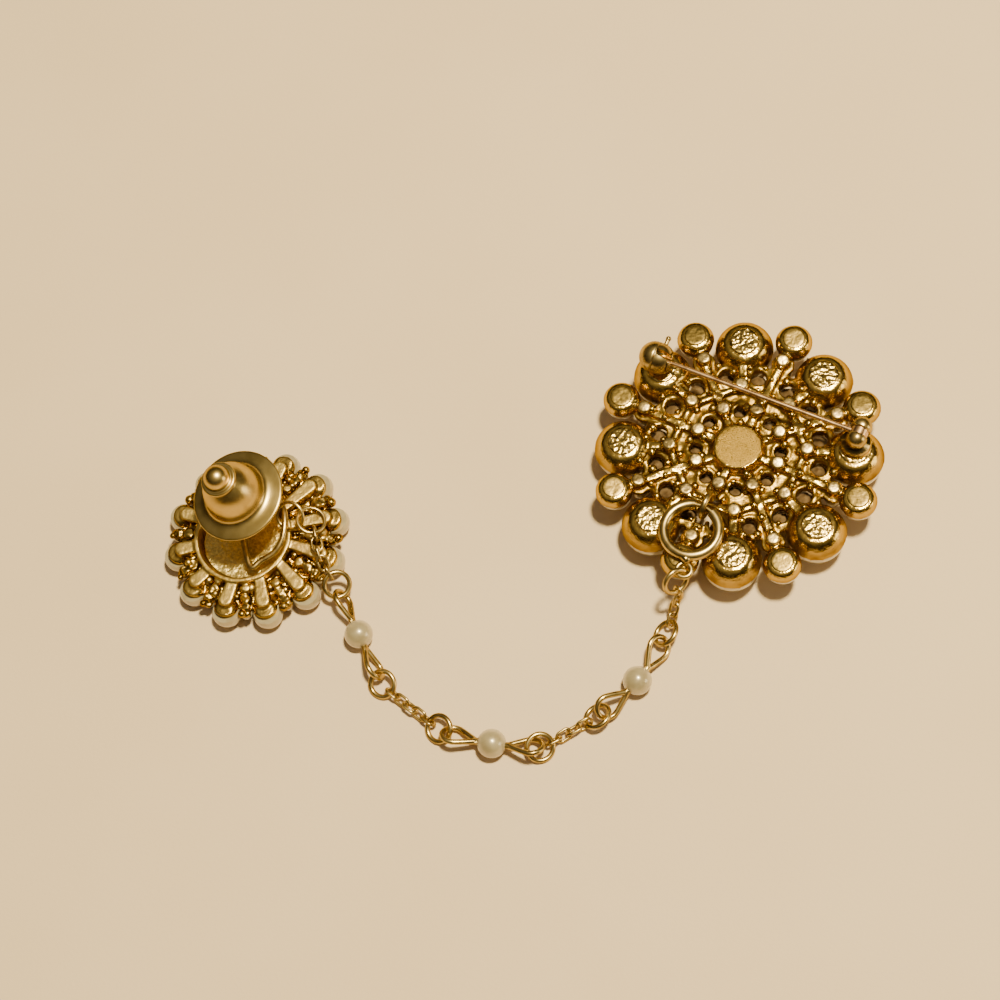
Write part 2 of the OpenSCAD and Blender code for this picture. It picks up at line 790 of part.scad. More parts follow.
// spring clutch with a ball on top
module clutch() {
  color("DarkKhaki") laid() tack() at_post() translate([0, 0, clutch_up])
    difference() {
      union() {
        rotate_extrude() polygon([
          // brim, bell and neck
          [0, 0], [brim_r - 0.15, 0], [brim_r, 0.15], [brim_r, 0.4], [brim_r - 0.2, 0.5],
          [5.6, 0.6], [4.9, 0.75], [4.5, 1], [4.25, 1.4], [4.15, 2], [4.05, 2.75],
          [3.85, 3.5], [3.55, 4.25], [3.15, 5], [2.7, 5.6], [2.35, 6], [2.2, 6.2],
          [2.2, 6.35], [2.5, 6.5], [2.5, 6.95], [2.35, 7.05], [0, 7.05]
        ]);
        translate([0, 0, 7.4]) sphere(1.8);
      }
      translate([0, 0, -1]) cylinder(r = post_r + 0.06, h = 6.2, $fn = 24);
    }
}

module tack_loop() {
  color("Goldenrod") laid() wire(curve(tack_loop_points, 4), 0.42, eye_sides);
}

brooch_frame();
centre_pearl();
inner_pearls();
inner_stones();
for (k = [1:8]) {
  rim_pearl_large(k - 1);
  rim_pearl_small(k - 1);
}
catch_lever();
pin_stem();
frame_loop();
clasp_ring();
clasp_bolt();
jump_ring(0);  // jump_ring_a
jump_ring(1);  // jump_ring_b
jump_ring(2);  // jump_ring_c
jump_ring(3);  // jump_ring_d
jump_ring(4);  // jump_ring_e
jump_ring(5);  // jump_ring_f
jump_ring(6);  // jump_ring_g
for (k = [1:3]) {
  eye_wire(k - 1);
  chain_pearl(k - 1);
}
for (k = [1:2]) {
  end_ring(k - 1);
}
cable_links(links_tack);  // cable_links_tack
cable_links(links_low);  // cable_links_low
cable_links(links_mid);  // cable_links_mid
cable_links(links_clasp);  // cable_links_clasp
tack_frame();
tack_loop();
tack_rim_pearls();
tack_small_pearls();
tack_centre_pearl();
tack_stones();
clutch();
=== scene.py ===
"""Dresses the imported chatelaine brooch: cast gold, satin brass, pearls and cut stones, lying face down."""

from __future__ import annotations

import logging
import math
from dataclasses import dataclass, field
from enum import Enum
from typing import Callable, Iterable, Sequence

import bmesh
import bpy
import numpy as np
from mathutils import Matrix, Vector, noise

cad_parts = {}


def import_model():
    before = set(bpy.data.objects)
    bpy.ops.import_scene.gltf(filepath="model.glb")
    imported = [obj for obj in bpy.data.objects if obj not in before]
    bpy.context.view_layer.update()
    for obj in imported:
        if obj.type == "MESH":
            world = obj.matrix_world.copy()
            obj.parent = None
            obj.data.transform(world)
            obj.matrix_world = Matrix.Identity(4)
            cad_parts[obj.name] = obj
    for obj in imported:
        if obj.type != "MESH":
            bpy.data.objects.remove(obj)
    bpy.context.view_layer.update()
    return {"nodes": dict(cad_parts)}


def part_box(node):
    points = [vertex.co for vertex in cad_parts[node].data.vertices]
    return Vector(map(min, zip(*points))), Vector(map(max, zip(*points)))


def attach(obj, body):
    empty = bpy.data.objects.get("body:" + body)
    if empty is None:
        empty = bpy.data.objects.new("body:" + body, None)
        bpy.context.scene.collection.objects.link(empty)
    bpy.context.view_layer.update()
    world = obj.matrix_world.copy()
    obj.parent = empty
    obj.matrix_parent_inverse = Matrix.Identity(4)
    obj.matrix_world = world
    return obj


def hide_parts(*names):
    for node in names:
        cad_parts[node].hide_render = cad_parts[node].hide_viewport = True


log = logging.getLogger("brooch")
MM = 0.001
Colour = tuple[float, float, float]
GOLD_EDGE: Colour = (0.60, 0.46, 0.17)
BRASS_EDGE: Colour = (0.72, 0.60, 0.36)


class Body(Enum):
    """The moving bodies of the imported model."""

    PIECE = "piece"
    PIN = "pin"
    CATCH = "catch"
    BOLT = "bolt"
    CLUTCH = "clutch"


class Slot(Enum):
    """The record's material slots."""

    CAST_GOLD = "cast_gold"
    PALE_GOLD = "pale_gold"
    ROSE_GOLD = "rose_gold"
    PEARL = "pearl"
    CUT_STONE = "cut_stone"


# Shaders


@dataclass(frozen=True)
class Signal:
    """A shader socket that takes part in Python sums and products."""

    graph: "Graph"
    socket: bpy.types.NodeSocket

    def _math(self, operation: str, *others: "Signal | float") -> "Signal":
        """Adds one Math node.

        Args:
            operation: The node's operation.
            others: The other operands, in order.

        Returns:
            The node's result.
        """
        inputs = {0: self, **dict(enumerate(others, 1))}
        return self.graph.node("ShaderNodeMath", {"operation": operation}, inputs)

    def __add__(self, other: "Signal | float") -> "Signal":
        """Sum."""
        return self._math("ADD", other)

    def __radd__(self, other: float) -> "Signal":
        """Sum with a number first."""
        return self._math("ADD", other)

    def __sub__(self, other: "Signal | float") -> "Signal":
        """Difference."""
        return self._math("SUBTRACT", other)

    def __rsub__(self, other: float) -> "Signal":
        """A number less this."""
        return self.graph.node("ShaderNodeMath", {"operation": "SUBTRACT"}, {0: other, 1: self})

    def __mul__(self, other: "Signal | float") -> "Signal":
        """Product."""
        return self._math("MULTIPLY", other)

    def __rmul__(self, other: float) -> "Signal":
        """Product with a number first."""
        return self._math("MULTIPLY", other)

    def ramp(self, low: float, high: float) -> "Signal":
        """Smooth step from 0 at low to 1 at high.

        Args:
            low: Value where the step starts.
            high: Value where the step ends.

        Returns:
            The step between 0 and 1.
        """
        return self.graph.node(
            "ShaderNodeMapRange",
            {"interpolation_type": "SMOOTHSTEP"},
            {"Value": self, "From Min": low, "From Max": high, "To Min": 0.0, "To Max": 1.0},
        )


def set_stops(ramp: bpy.types.ColorRamp, stops: "Sequence[tuple[float, Colour]]") -> None:
    """Gives a colour ramp its places and colours.

    Args:
        ramp: The ramp.
        stops: Place and colour of each stop, in order.
    """
    while len(ramp.elements) < len(stops):
        ramp.elements.new(1.0)
    for element, (place, colour) in zip(ramp.elements, stops):
        element.position, element.color = place, (*colour, 1.0)


class Graph:
    """The node tree of one material."""

    def __init__(self, name: str) -> None:
        """Starts a material with its output and a principled shader.

        Args:
            name: The material's name.
        """
        self.material = bpy.data.materials.new(name)
        self.material.use_nodes = True
        self.tree = self.material.node_tree
        self.tree.nodes.clear()
        self.shader = self.tree.nodes.new("ShaderNodeBsdfPrincipled")
        output = self.tree.nodes.new("ShaderNodeOutputMaterial")
        self.tree.links.new(self.shader.outputs["BSDF"], output.inputs["Surface"])
        self.place = Signal(self, self.tree.nodes.new("ShaderNodeTexCoord").outputs["Object"])

    def node(self, kind: str, settings: dict, inputs: dict, output: int | str = 0) -> Signal:
        """Adds a node, settings first, then the values or links of its sockets.

        Args:
            kind: The node's type.
            settings: Attributes of the node.
            inputs: Socket name or number, and a value or a Signal.
            output: The socket that the result comes from.

        Returns:
            The chosen output.
        """
        made = self.tree.nodes.new(kind)
        for key, value in settings.items():
            if key == "stops":
                set_stops(made.color_ramp, value)
            else:
                setattr(made, key, value)
        for key, value in inputs.items():
            self.feed(made.inputs[key], value)
        return Signal(self, made.outputs[output])

    def feed(self, socket: bpy.types.NodeSocket, value: "Signal | float | Sequence[float]") -> None:
        """Links a Signal to a socket, or sets its value."""
        if isinstance(value, Signal):
            self.tree.links.new(value.socket, socket)
        elif isinstance(value, tuple) and len(value) == 3 and socket.type == "RGBA":
            socket.default_value = (*value, 1.0)
        else:
            socket.default_value = value

    def noise(self, size_mm: float, detail: float = 2.0, rough: float = 0.5) -> Signal:
        """Fractal noise with features of about size_mm."""
        return self.node(
            "ShaderNodeTexNoise",
            {"normalize": True},
            {"Vector": self.place, "Scale": 1.0 / (size_mm * MM), "Detail": detail, "Roughness": rough},
        )

    def cells(self, size_mm: float, smooth: float = 0.6) -> Signal:
        """Distance to the nearest of scattered points about size_mm apart."""
        return self.node(
            "ShaderNodeTexVoronoi",
            {"feature": "SMOOTH_F1"},
            {"Vector": self.place, "Scale": 1.0 / (size_mm * MM), "Smoothness": smooth},
        )

    def height(self) -> Signal:
        """Height above the table in millimetres."""
        z = self.node("ShaderNodeSeparateXYZ", {}, {0: self.place}, 2)
        return z * 1000.0

    def blend(self, factor: Signal, low: "Signal | tuple", high: "Signal | tuple") -> Signal:
        """Colour low where factor is 0 and high where it is 1."""
        mix = self.tree.nodes.new("ShaderNodeMix")
        mix.data_type = "RGBA"
        self.feed(mix.inputs[0], factor)
        self.feed(mix.inputs[6], low)
        self.feed(mix.inputs[7], high)
        return Signal(self, mix.outputs[2])

    def bump(self, height: Signal, depth_mm: float, strength: float = 1.0,
             below: "Signal | None" = None) -> Signal:
        """A bump of the given depth, laid on an earlier one."""
        inputs = {"Height": height, "Distance": depth_mm * MM, "Strength": strength}
        if below is not None:
            inputs["Normal"] = below
        return self.node("ShaderNodeBump", {}, inputs)

    def set(self, **sockets: "Signal | float | tuple") -> "Graph":
        """Sets the principled shader's sockets; underscores stand for spaces."""
        for key, value in sockets.items():
            self.feed(self.shader.inputs[key.replace("_", " ")], value)
        return self


@dataclass(frozen=True)
class CastGold:
    """Bright plated casting: mirror-like, lumpy, with shade painted darker into its recesses."""

    name: str = "cast_gold_plate"
    bright: Colour = (0.60, 0.40, 0.092)
    # painted shade: the colour of the hollows, used below recess_mm in height
    recess_shade: Colour = (0.20, 0.11, 0.014)
    recess_mm: tuple[float, float] = (5.2, 7.1)
    lump_mm: float = 0.9
    lump_depth: float = 0.1
    rough: tuple[float, float] = (0.13, 0.3)

    def build(self) -> bpy.types.Material:
        """Makes the material."""
        g = Graph(self.name)
        patches = g.noise(2.2, 3.0)
        # painted shade: below recess_mm the colour darkens, mottled at random by patches, towards the painted
        # recess shade
        raised = g.height().ramp(*self.recess_mm)
        middling = tuple(0.5 * a + 0.5 * b for a, b in zip(self.recess_shade, self.bright))
        patchy_recess_shade = g.blend(patches.ramp(0.35, 0.65), self.recess_shade, middling)
        colour = g.blend(raised, patchy_recess_shade, self.bright)
        grain = g.noise(self.lump_mm, 4.0, rough=0.6)
        pits = g.noise(0.16, 2.0)
        rough = patches * 0.1 + (self.rough[1] - raised * (self.rough[1] - self.rough[0]))
        relief = g.bump(pits, 0.018, 0.5, g.bump(grain, self.lump_depth))
        g.set(Base_Color=colour, Metallic=1.0, Roughness=rough, Normal=relief, Specular_Tint=GOLD_EDGE)
        return g.material


@dataclass(frozen=True)
class HammeredGold:
    """Bright gold disc with coarse overlapping hammer marks."""

    name: str = "hammered_gold"
    bright: Colour = (0.70, 0.485, 0.135)
    mark_mm: float = 0.62
    depth_mm: float = 0.12
    rough: float = 0.13

    def build(self) -> bpy.types.Material:
        """Makes the material."""
        g = Graph(self.name)
        marks = g.cells(self.mark_mm, 0.35)
        grain = g.noise(0.3, 3.0)
        shade = g.noise(1.3, 2.0)
        colour = g.blend(shade.ramp(0.3, 0.7), tuple(0.55 * c for c in self.bright), self.bright)
        relief = g.bump(grain, 0.07, 0.8, g.bump(marks, self.depth_mm))
        g.set(Base_Color=colour, Metallic=1.0, Roughness=grain * 0.15 + self.rough)
        g.set(Normal=relief, Specular_Tint=GOLD_EDGE)
        return g.material


@dataclass(frozen=True)
class SandyGold:
    """Matt sand-cast gold with a faint uneven relief."""

    name: str = "sandy_gold"
    bright: Colour = (0.33, 0.20, 0.035)
    grain_mm: float = 0.2
    depth_mm: float = 0.13
    swell_mm: float = 0.04
    rough: float = 0.2

    def build(self) -> bpy.types.Material:
        """Makes the material."""
        g = Graph(self.name)
        grain = g.noise(self.grain_mm, 3.0, rough=0.65)
        swell = g.noise(1.4, 2.0)
        colour = g.blend(grain.ramp(0.35, 0.7), tuple(0.62 * c for c in self.bright), self.bright)
        relief = g.bump(grain, self.depth_mm, 0.8, g.bump(swell, self.swell_mm))
        g.set(Base_Color=colour, Metallic=1.0, Roughness=grain * 0.2 + self.rough)
        g.set(Normal=relief, Specular_Tint=GOLD_EDGE)
        return g.material


@dataclass(frozen=True)
class SatinBrass:
    """Duller pale plate of the chain and the fittings."""

    name: str = "satin_brass"
    bright: Colour = (0.58, 0.43, 0.165)
    dull: Colour = (0.36, 0.25, 0.085)
    rough: tuple[float, float] = (0.22, 0.36)
    scratch_depth: float = 0.006

    def build(self) -> bpy.types.Material:
        """Makes the material."""
        g = Graph(self.name)
        tarnish = g.noise(1.7, 3.0)
        scratches = g.noise(0.09, 2.0)
        colour = g.blend(tarnish.ramp(0.32, 0.66), self.dull, self.bright)
        rough = tarnish * (self.rough[1] - self.rough[0]) + self.rough[0]
        relief = g.bump(scratches, self.scratch_depth, 0.6)
        g.set(Base_Color=colour, Metallic=1.0, Roughness=rough, Normal=relief, Specular_Tint=BRASS_EDGE)
        return g.material


@dataclass(frozen=True)
class SpunBrass:
    """Satin brass turned on a lathe: fine rings about an axis."""

    name: str
    centre: Vector
    axis: Vector
    bright: Colour = (0.60, 0.44, 0.155)
    dull: Colour = (0.49, 0.345, 0.105)
    ring_mm: float = 0.22
    depth_mm: float = 0.007
    rough: tuple[float, float] = (0.24, 0.36)

    def build(self) -> bpy.types.Material:
        """Makes the material."""
        g = Graph(self.name)
        turn = self.axis.to_track_quat("Z", "Y").inverted().to_euler()
        offset = -(turn.to_matrix() @ self.centre)
        mapped = g.node("ShaderNodeMapping", {"vector_type": "POINT"},
                        {"Vector": g.place, "Location": offset, "Rotation": turn})
        x = g.node("ShaderNodeSeparateXYZ", {}, {0: mapped}, 0)
        y = g.node("ShaderNodeSeparateXYZ", {}, {0: mapped}, 1)
        radius = g.node("ShaderNodeMath", {"operation": "SQRT"}, {0: x * x + y * y}) * 1000.0
        along = g.node("ShaderNodeCombineXYZ", {}, {0: radius, 1: 0.0, 2: 0.0})
        rings = g.node("ShaderNodeTexNoise", {},
                       {"Vector": along, "Scale": 1.0 / self.ring_mm, "Detail": 3.0})
        tarnish = g.noise(2.4, 3.0)
        colour = g.blend(tarnish.ramp(0.3, 0.7), self.dull, self.bright)
        rough = tarnish * (self.rough[1] - self.rough[0]) + self.rough[0]
        relief = g.bump(g.noise(0.1, 2.0), 0.004, 0.5, g.bump(rings, self.depth_mm))
        g.set(Base_Color=colour, Metallic=1.0, Roughness=rough, Normal=relief, Specular_Tint=BRASS_EDGE)
        return g.material


@dataclass(frozen=True)
class DrawnCopper:
    """Rose-gold drawn wire with lengthwise draw marks."""

    name: str = "rose_gold_wire"
    bright: Colour = (0.80, 0.53, 0.28)
    dull: Colour = (0.56, 0.33, 0.15)

    def build(self) -> bpy.types.Material:
        """Makes the material."""
        g = Graph(self.name)
        wear = g.noise(2.2, 3.0)
        colour = g.blend(wear.ramp(0.3, 0.68), self.dull, self.bright)
        relief = g.bump(g.noise(0.12, 2.0), 0.006, 0.6)
        g.set(Base_Color=colour, Metallic=1.0, Roughness=wear * 0.16 + 0.2, Normal=relief)
        return g.material


@dataclass(frozen=True)
class PearlCoat:
    """Cream lacquer of an imitation pearl with a soft pink and green sheen, painted lighter towards its
    edges.
    """

    name: str = "cream_pearl"
    cream: Colour = (0.42, 0.345, 0.185)
    shade: Colour = (0.33, 0.26, 0.13)
    painted_sheen: Colour = (0.52, 0.44, 0.28)

    def build(self) -> bpy.types.Material:
        """Makes the material."""
        g = Graph(self.name)
        cloud = g.noise(1.5, 3.0)
        facing = g.node("ShaderNodeLayerWeight", {}, {"Blend": 0.35}, "Facing")
        body = g.blend(cloud.ramp(0.3, 0.7), self.shade, self.cream)
        # painted sheen: the colour turns to the lighter sheen colour where the surface turns away from the
        # view
        colour = g.blend(facing.ramp(0.0, 0.75), body, self.painted_sheen)
        relief = g.bump(g.noise(0.28, 2.0), 0.006, 0.5)
        g.set(Base_Color=colour, Roughness=cloud * 0.1 + 0.26, Normal=relief, Metallic=0.22)
        g.set(Coat_Weight=0.7, Coat_Roughness=0.1, Subsurface_Weight=0.1, Subsurface_Scale=0.6 * MM)
        g.set(Subsurface_Radius=(1.0, 0.8, 0.6), Specular_IOR_Level=0.6)
        return g.material


@dataclass(frozen=True)
class SmokyStone:
    """Cut glass seen from its dark foiled back."""

    name: str = "smoky_stone"
    dark: Colour = (0.10, 0.058, 0.022)
    light: Colour = (0.22, 0.14, 0.06)

    def build(self) -> bpy.types.Material:
        """Makes the material."""
        g = Graph(self.name)
        cloud = g.noise(1.2, 2.0)
        colour = g.blend(cloud.ramp(0.3, 0.7), self.dark, self.light)
        g.set(Base_Color=colour, Metallic=0.0, Roughness=cloud * 0.12 + 0.3)
        g.set(Normal=g.bump(cloud, 0.01, 0.3))
        return g.material


@dataclass(frozen=True)
class PalePaper:
    """The plain pale surface that the brooch lies on."""

    name: str = "pale_paper"
    light: Colour = (0.79, 0.61, 0.385)
    shade: Colour = (0.75, 0.57, 0.35)

    def build(self) -> bpy.types.Material:
        """Makes the material."""
        g = Graph(self.name)
        broad = g.noise(40.0, 3.0)
        fibre = g.noise(0.5, 4.0)
        colour = g.blend(broad.ramp(0.3, 0.7) * 0.6 + fibre * 0.4, self.shade, self.light)
        g.set(Base_Color=colour, Roughness=0.82, Normal=g.bump(fibre, 0.05, 0.5), Specular_IOR_Level=0.25)
        return g.material


# Meshes


def adopt(mesh: bpy.types.Mesh, name: str, material: bpy.types.Material) -> bpy.types.Object:
    """Puts a mesh in the scene as a piece of one material.

    Args:
        mesh: The finished mesh, in metres.
        name: The piece's name.
        material: Its material.

    Returns:
        The new object at the origin.
    """
    mesh.name = name
    mesh.materials.clear()
    mesh.materials.append(material)
    obj = bpy.data.objects.new(name, mesh)
    bpy.context.scene.collection.objects.link(obj)
    return obj


def cad_copy(node: str, nodes: dict[str, bpy.types.Object], weld_mm: float = 0.002) -> bpy.types.Mesh:
    """A merged copy of a CAD node's mesh.

    Args:
        node: The node's name.
        nodes: The loaded frame's nodes.
        weld_mm: Distance under which points are merged.

    Returns:
        The copy, smooth shaded, in metres.
    """
    bm = bmesh.new()
    bm.from_mesh(nodes[node].data)
    bmesh.ops.remove_doubles(bm, verts=bm.verts, dist=weld_mm * MM)
    bmesh.ops.dissolve_degenerate(bm, edges=bm.edges, dist=0.0005 * MM)
    mesh = bpy.data.meshes.new(node + "_copy")
    bm.to_mesh(mesh)
    bm.free()
    mesh.shade_smooth()
    return mesh


def plain(obj: bpy.types.Object) -> bpy.types.Object:
    """Turns an object with modifiers into the plain mesh that they make."""
    view = bpy.context.evaluated_depsgraph_get()
    view.update()
    made = bpy.data.meshes.new_from_object(obj.evaluated_get(view), depsgraph=view)
    obj.modifiers.clear()
    obj.data = made
    return obj


def join(meshes: Iterable[bpy.types.Mesh]) -> bpy.types.Mesh:
    """One mesh of all the given ones."""
    bm = bmesh.new()
    for mesh in meshes:
        bm.from_mesh(mesh)
    whole = bpy.data.meshes.new("joined")
    bm.to_mesh(whole)
    bm.free()
    return whole


def dome(centre: Vector, radius: float, low: float, high: float, steps: int = 32) -> bpy.types.Mesh:
    """The zone of a ball between two heights over its centre, closed, in metres.

    Args:
        centre: The ball's centre in metres.
        radius: Its radius in metres.
        low: Lower cut over the centre in metres.
        high: Upper cut over the centre in metres.
        steps: Segments round the ball.

    Returns:
        The zone's mesh.
    """
    bm = bmesh.new()
    bmesh.ops.create_uvsphere(bm, u_segments=steps, v_segments=steps // 2, radius=radius)
    for cut, direction in ((low, -1), (high, 1)):
        every = bm.verts[:] + bm.edges[:] + bm.faces[:]
        bmesh.ops.bisect_plane(
            bm, geom=every, plane_co=(0, 0, cut), plane_no=(0, 0, direction), clear_outer=True)
        edges = [e for e in bm.edges if e.is_boundary]
        if edges:
            bmesh.ops.holes_fill(bm, edges=edges)
    bmesh.ops.translate(bm, verts=bm.verts, vec=centre)
    mesh = bpy.data.meshes.new("dome")
    bm.to_mesh(mesh)
    bm.free()
    return mesh


def voxel_skin(mesh: bpy.types.Mesh, voxel_mm: float, passes: int) -> bpy.types.Mesh:
    """One closed, softened skin round a mesh, as a casting has.

    Args:
        mesh: The source mesh, in metres.
        voxel_mm: Size of the grid.
        passes: Smoothing passes.

    Returns:
        The skin in metres.
    """
    mesh.transform(Matrix.Scale(1.0 / MM, 4))
    obj = bpy.data.objects.new("skin", mesh)
    bpy.context.scene.collection.objects.link(obj)
    remesh = obj.modifiers.new("Remesh", "REMESH")
    remesh.mode, remesh.voxel_size, remesh.adaptivity = "VOXEL", voxel_mm, 0.0
    smooth = obj.modifiers.new("Smooth", "SMOOTH")
    smooth.iterations, smooth.factor = passes, 0.5
    plain(obj)
    skin = obj.data
    bpy.data.objects.remove(obj)
    skin.transform(Matrix.Scale(MM, 4))
    skin.shade_smooth()
    return skin


def displace(mesh: bpy.types.Mesh, lift: Callable[[Vector, Vector], float]) -> None:
    """Moves each point along its normal by what lift says.

    Args:
        mesh: The mesh, in metres.
        lift: Takes a point and its normal in millimetres and gives millimetres.
    """
    points = [v.co.copy() for v in mesh.vertices]
    normals = [n.vector.copy() for n in mesh.vertex_normals]
    for vertex, point, normal in zip(mesh.vertices, points, normals):
        vertex.co = point + normal * lift(point / MM, normal) * MM


def revolve(profile: "Profile", foot: Vector, axis: Vector, steps: int) -> bpy.types.Mesh:
    """Turns a closed outline about an axis.

    Args:
        profile: Radius and height pairs in millimetres, from the axis round to the axis.
        foot: The axis's foot in metres.
        axis: The axis's direction.
        steps: Segments round.

    Returns:
        The turned mesh in metres.
    """
    turn = axis.to_track_quat("Z", "Y").to_matrix().to_4x4()
    turn.translation = foot
    bm = bmesh.new()
    rings: list[list[bmesh.types.BMVert]] = []
    for radius, height in profile:
        if radius == 0.0:
            rings.append([bm.verts.new((0, 0, height * MM))])
        else:
            angles = (2 * math.pi * k / steps for k in range(steps))
            round_it = [Vector((radius * math.cos(a), radius * math.sin(a), height)) for a in angles]
            rings.append([bm.verts.new(point * MM) for point in round_it])
    for low, high in zip(rings, rings[1:]):
        for k in range(steps):
            a, b = low[k % len(low)], low[(k + 1) % len(low)]
            c, d = high[(k + 1) % len(high)], high[k % len(high)]
            bm.faces.new([v for i, v in enumerate((a, b, c, d)) if v not in (a, b, c, d)[:i]])
    bmesh.ops.transform(bm, matrix=turn, verts=bm.verts)
    bmesh.ops.recalc_face_normals(bm, faces=bm.faces)
    mesh = bpy.data.meshes.new("turned")
    bm.to_mesh(mesh)
    bm.free()
    mesh.shade_smooth()
    return mesh


def dress_node(obj: bpy.types.Object, material: bpy.types.Material) -> None:
    """Gives a CAD node a material."""
    if not obj.material_slots:
        obj.data.materials.append(material)
    for place in obj.material_slots:
        place.link = "OBJECT"
        place.material = material


def settle(obj: bpy.types.Object, body: Body, slot: Slot, *nodes: str) -> bpy.types.Object:
    """Rides a piece on its body, hides the nodes that it stands for and logs its faces."""
    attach(obj, body.value)
    if nodes:
        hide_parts(*nodes)
    log.info("%s: %d faces on %s", obj.name, len(obj.data.polygons), body.value)
    return obj


# Geometry node trees


class Tree:
    """A geometry node tree that is built, run once and turned into a plain mesh."""

    def __init__(self, name: str, inputs: dict[str, tuple[str, float | int]]) -> None:
        """Starts a tree with a geometry input, named number inputs and a geometry output.

        Args:
            name: The tree's name.
            inputs: Input name, with its socket type and value.
        """
        self.group = bpy.data.node_groups.new(name, "GeometryNodeTree")
        face = self.group.interface
        face.new_socket("Geometry", in_out="INPUT", socket_type="NodeSocketGeometry")
        self.values = {}
        for key, (kind, value) in inputs.items():
            made = face.new_socket(key, in_out="INPUT", socket_type=kind)
            self.values[made.identifier] = value
        face.new_socket("Geometry", in_out="OUTPUT", socket_type="NodeSocketGeometry")
        self.start = self.group.nodes.new("NodeGroupInput")
        self.end = self.group.nodes.new("NodeGroupOutput")

    def add(self, kind: str, settings: dict | None = None, **inputs: object) -> bpy.types.Node:
        """Adds a node; underscores in input names stand for spaces."""
        made = self.group.nodes.new(kind)
        for key, value in (settings or {}).items():
            setattr(made, key, value)
        for key, value in inputs.items():
            socket = made.inputs[key.replace("_", " ")]
            if isinstance(value, bpy.types.NodeSocket):
                self.group.links.new(value, socket)
            else:
                socket.default_value = value
        return made

    def uneven(self, geometry: bpy.types.NodeSocket, size: bpy.types.NodeSocket,
               depth: bpy.types.NodeSocket) -> bpy.types.NodeSocket:
        """Moves realised points along their normals by a noise.

        Args:
            geometry: The realised geometry.
            size: Noise scale, in features a metre.
            depth: Height of the relief in metres.

        Returns:
            The uneven geometry.
        """
        grain = self.add("ShaderNodeTexNoise", Scale=size, Detail=2.0)
        middle = self.add("ShaderNodeMath", {"operation": "SUBTRACT"})
        self.group.links.new(grain.outputs[0], middle.inputs[0])
        middle.inputs[1].default_value = 0.5
        lift = self.add("ShaderNodeMath", {"operation": "MULTIPLY"})
        self.group.links.new(middle.outputs[0], lift.inputs[0])
        self.group.links.new(depth, lift.inputs[1])
        along = self.add("ShaderNodeVectorMath", {"operation": "SCALE"}, Scale=lift.outputs[0])
        self.group.links.new(self.add("GeometryNodeInputNormal").outputs[0], along.inputs[0])
        return self.add("GeometryNodeSetPosition", Geometry=geometry, Offset=along.outputs[0]).outputs[0]

    def run(self, geometry: bpy.types.NodeSocket, mesh: bpy.types.Mesh, material: bpy.types.Material,
            uneven: Sequence[bpy.types.NodeSocket] = ()) -> bpy.types.Mesh:
        """Realises the geometry, sets its material and gives the plain mesh.

        Args:
            geometry: The tree's result before it is realised.
            mesh: The mesh that the tree starts from.
            material: The material of all of it.
            uneven: Noise scale and depth of a relief, if it has one.

        Returns:
            The plain mesh in metres.
        """
        real = self.add("GeometryNodeRealizeInstances", Geometry=geometry).outputs[0]
        if uneven:
            real = self.uneven(real, *uneven)
        smooth = self.add("GeometryNodeSetShadeSmooth", Geometry=real)
        done = self.add("GeometryNodeSetMaterial", Geometry=smooth.outputs[0], Material=material)
        self.group.links.new(done.outputs[0], self.end.inputs[0])
        obj = bpy.data.objects.new(self.group.name, mesh)
        bpy.context.scene.collection.objects.link(obj)
        modifier = obj.modifiers.new("Nodes", "NODES")
        modifier.node_group = self.group
        for identifier, value in self.values.items():
            modifier[identifier] = value
        plain(obj)
        result = obj.data
        bpy.data.objects.remove(obj)
        return result


def loose_frames(mesh: bpy.types.Mesh) -> list[tuple[Vector, Matrix]]:
    """Centre and main axes of each loose solid of a mesh, longest axis first.

    Args:
        mesh: The merged mesh, in metres.

    Returns:
        One centre and rotation matrix for each solid.
    """
    bm = bmesh.new()
    bm.from_mesh(mesh)
    left = set(bm.verts)
    frames = []
    while left:
        stack, island = [min(left, key=lambda v: v.index)], []
        left.discard(stack[0])
        while stack:
            vertex = stack.pop()
            island.append(vertex.co[:])
            for edge in vertex.link_edges:
                other = edge.other_vert(vertex)
                if other in left:
                    left.discard(other)
                    stack.append(other)
        points = np.array(island)
        centre = (points.min(0) + points.max(0)) / 2 if len(points) < 4 else points.mean(0)
        _, _, axes = np.linalg.svd(points - centre, full_matrices=False)
        if np.linalg.det(axes) < 0:
            axes[2] *= -1
        frames.append((Vector(centre), Matrix(axes.T.tolist())))
    bm.free()
    return frames


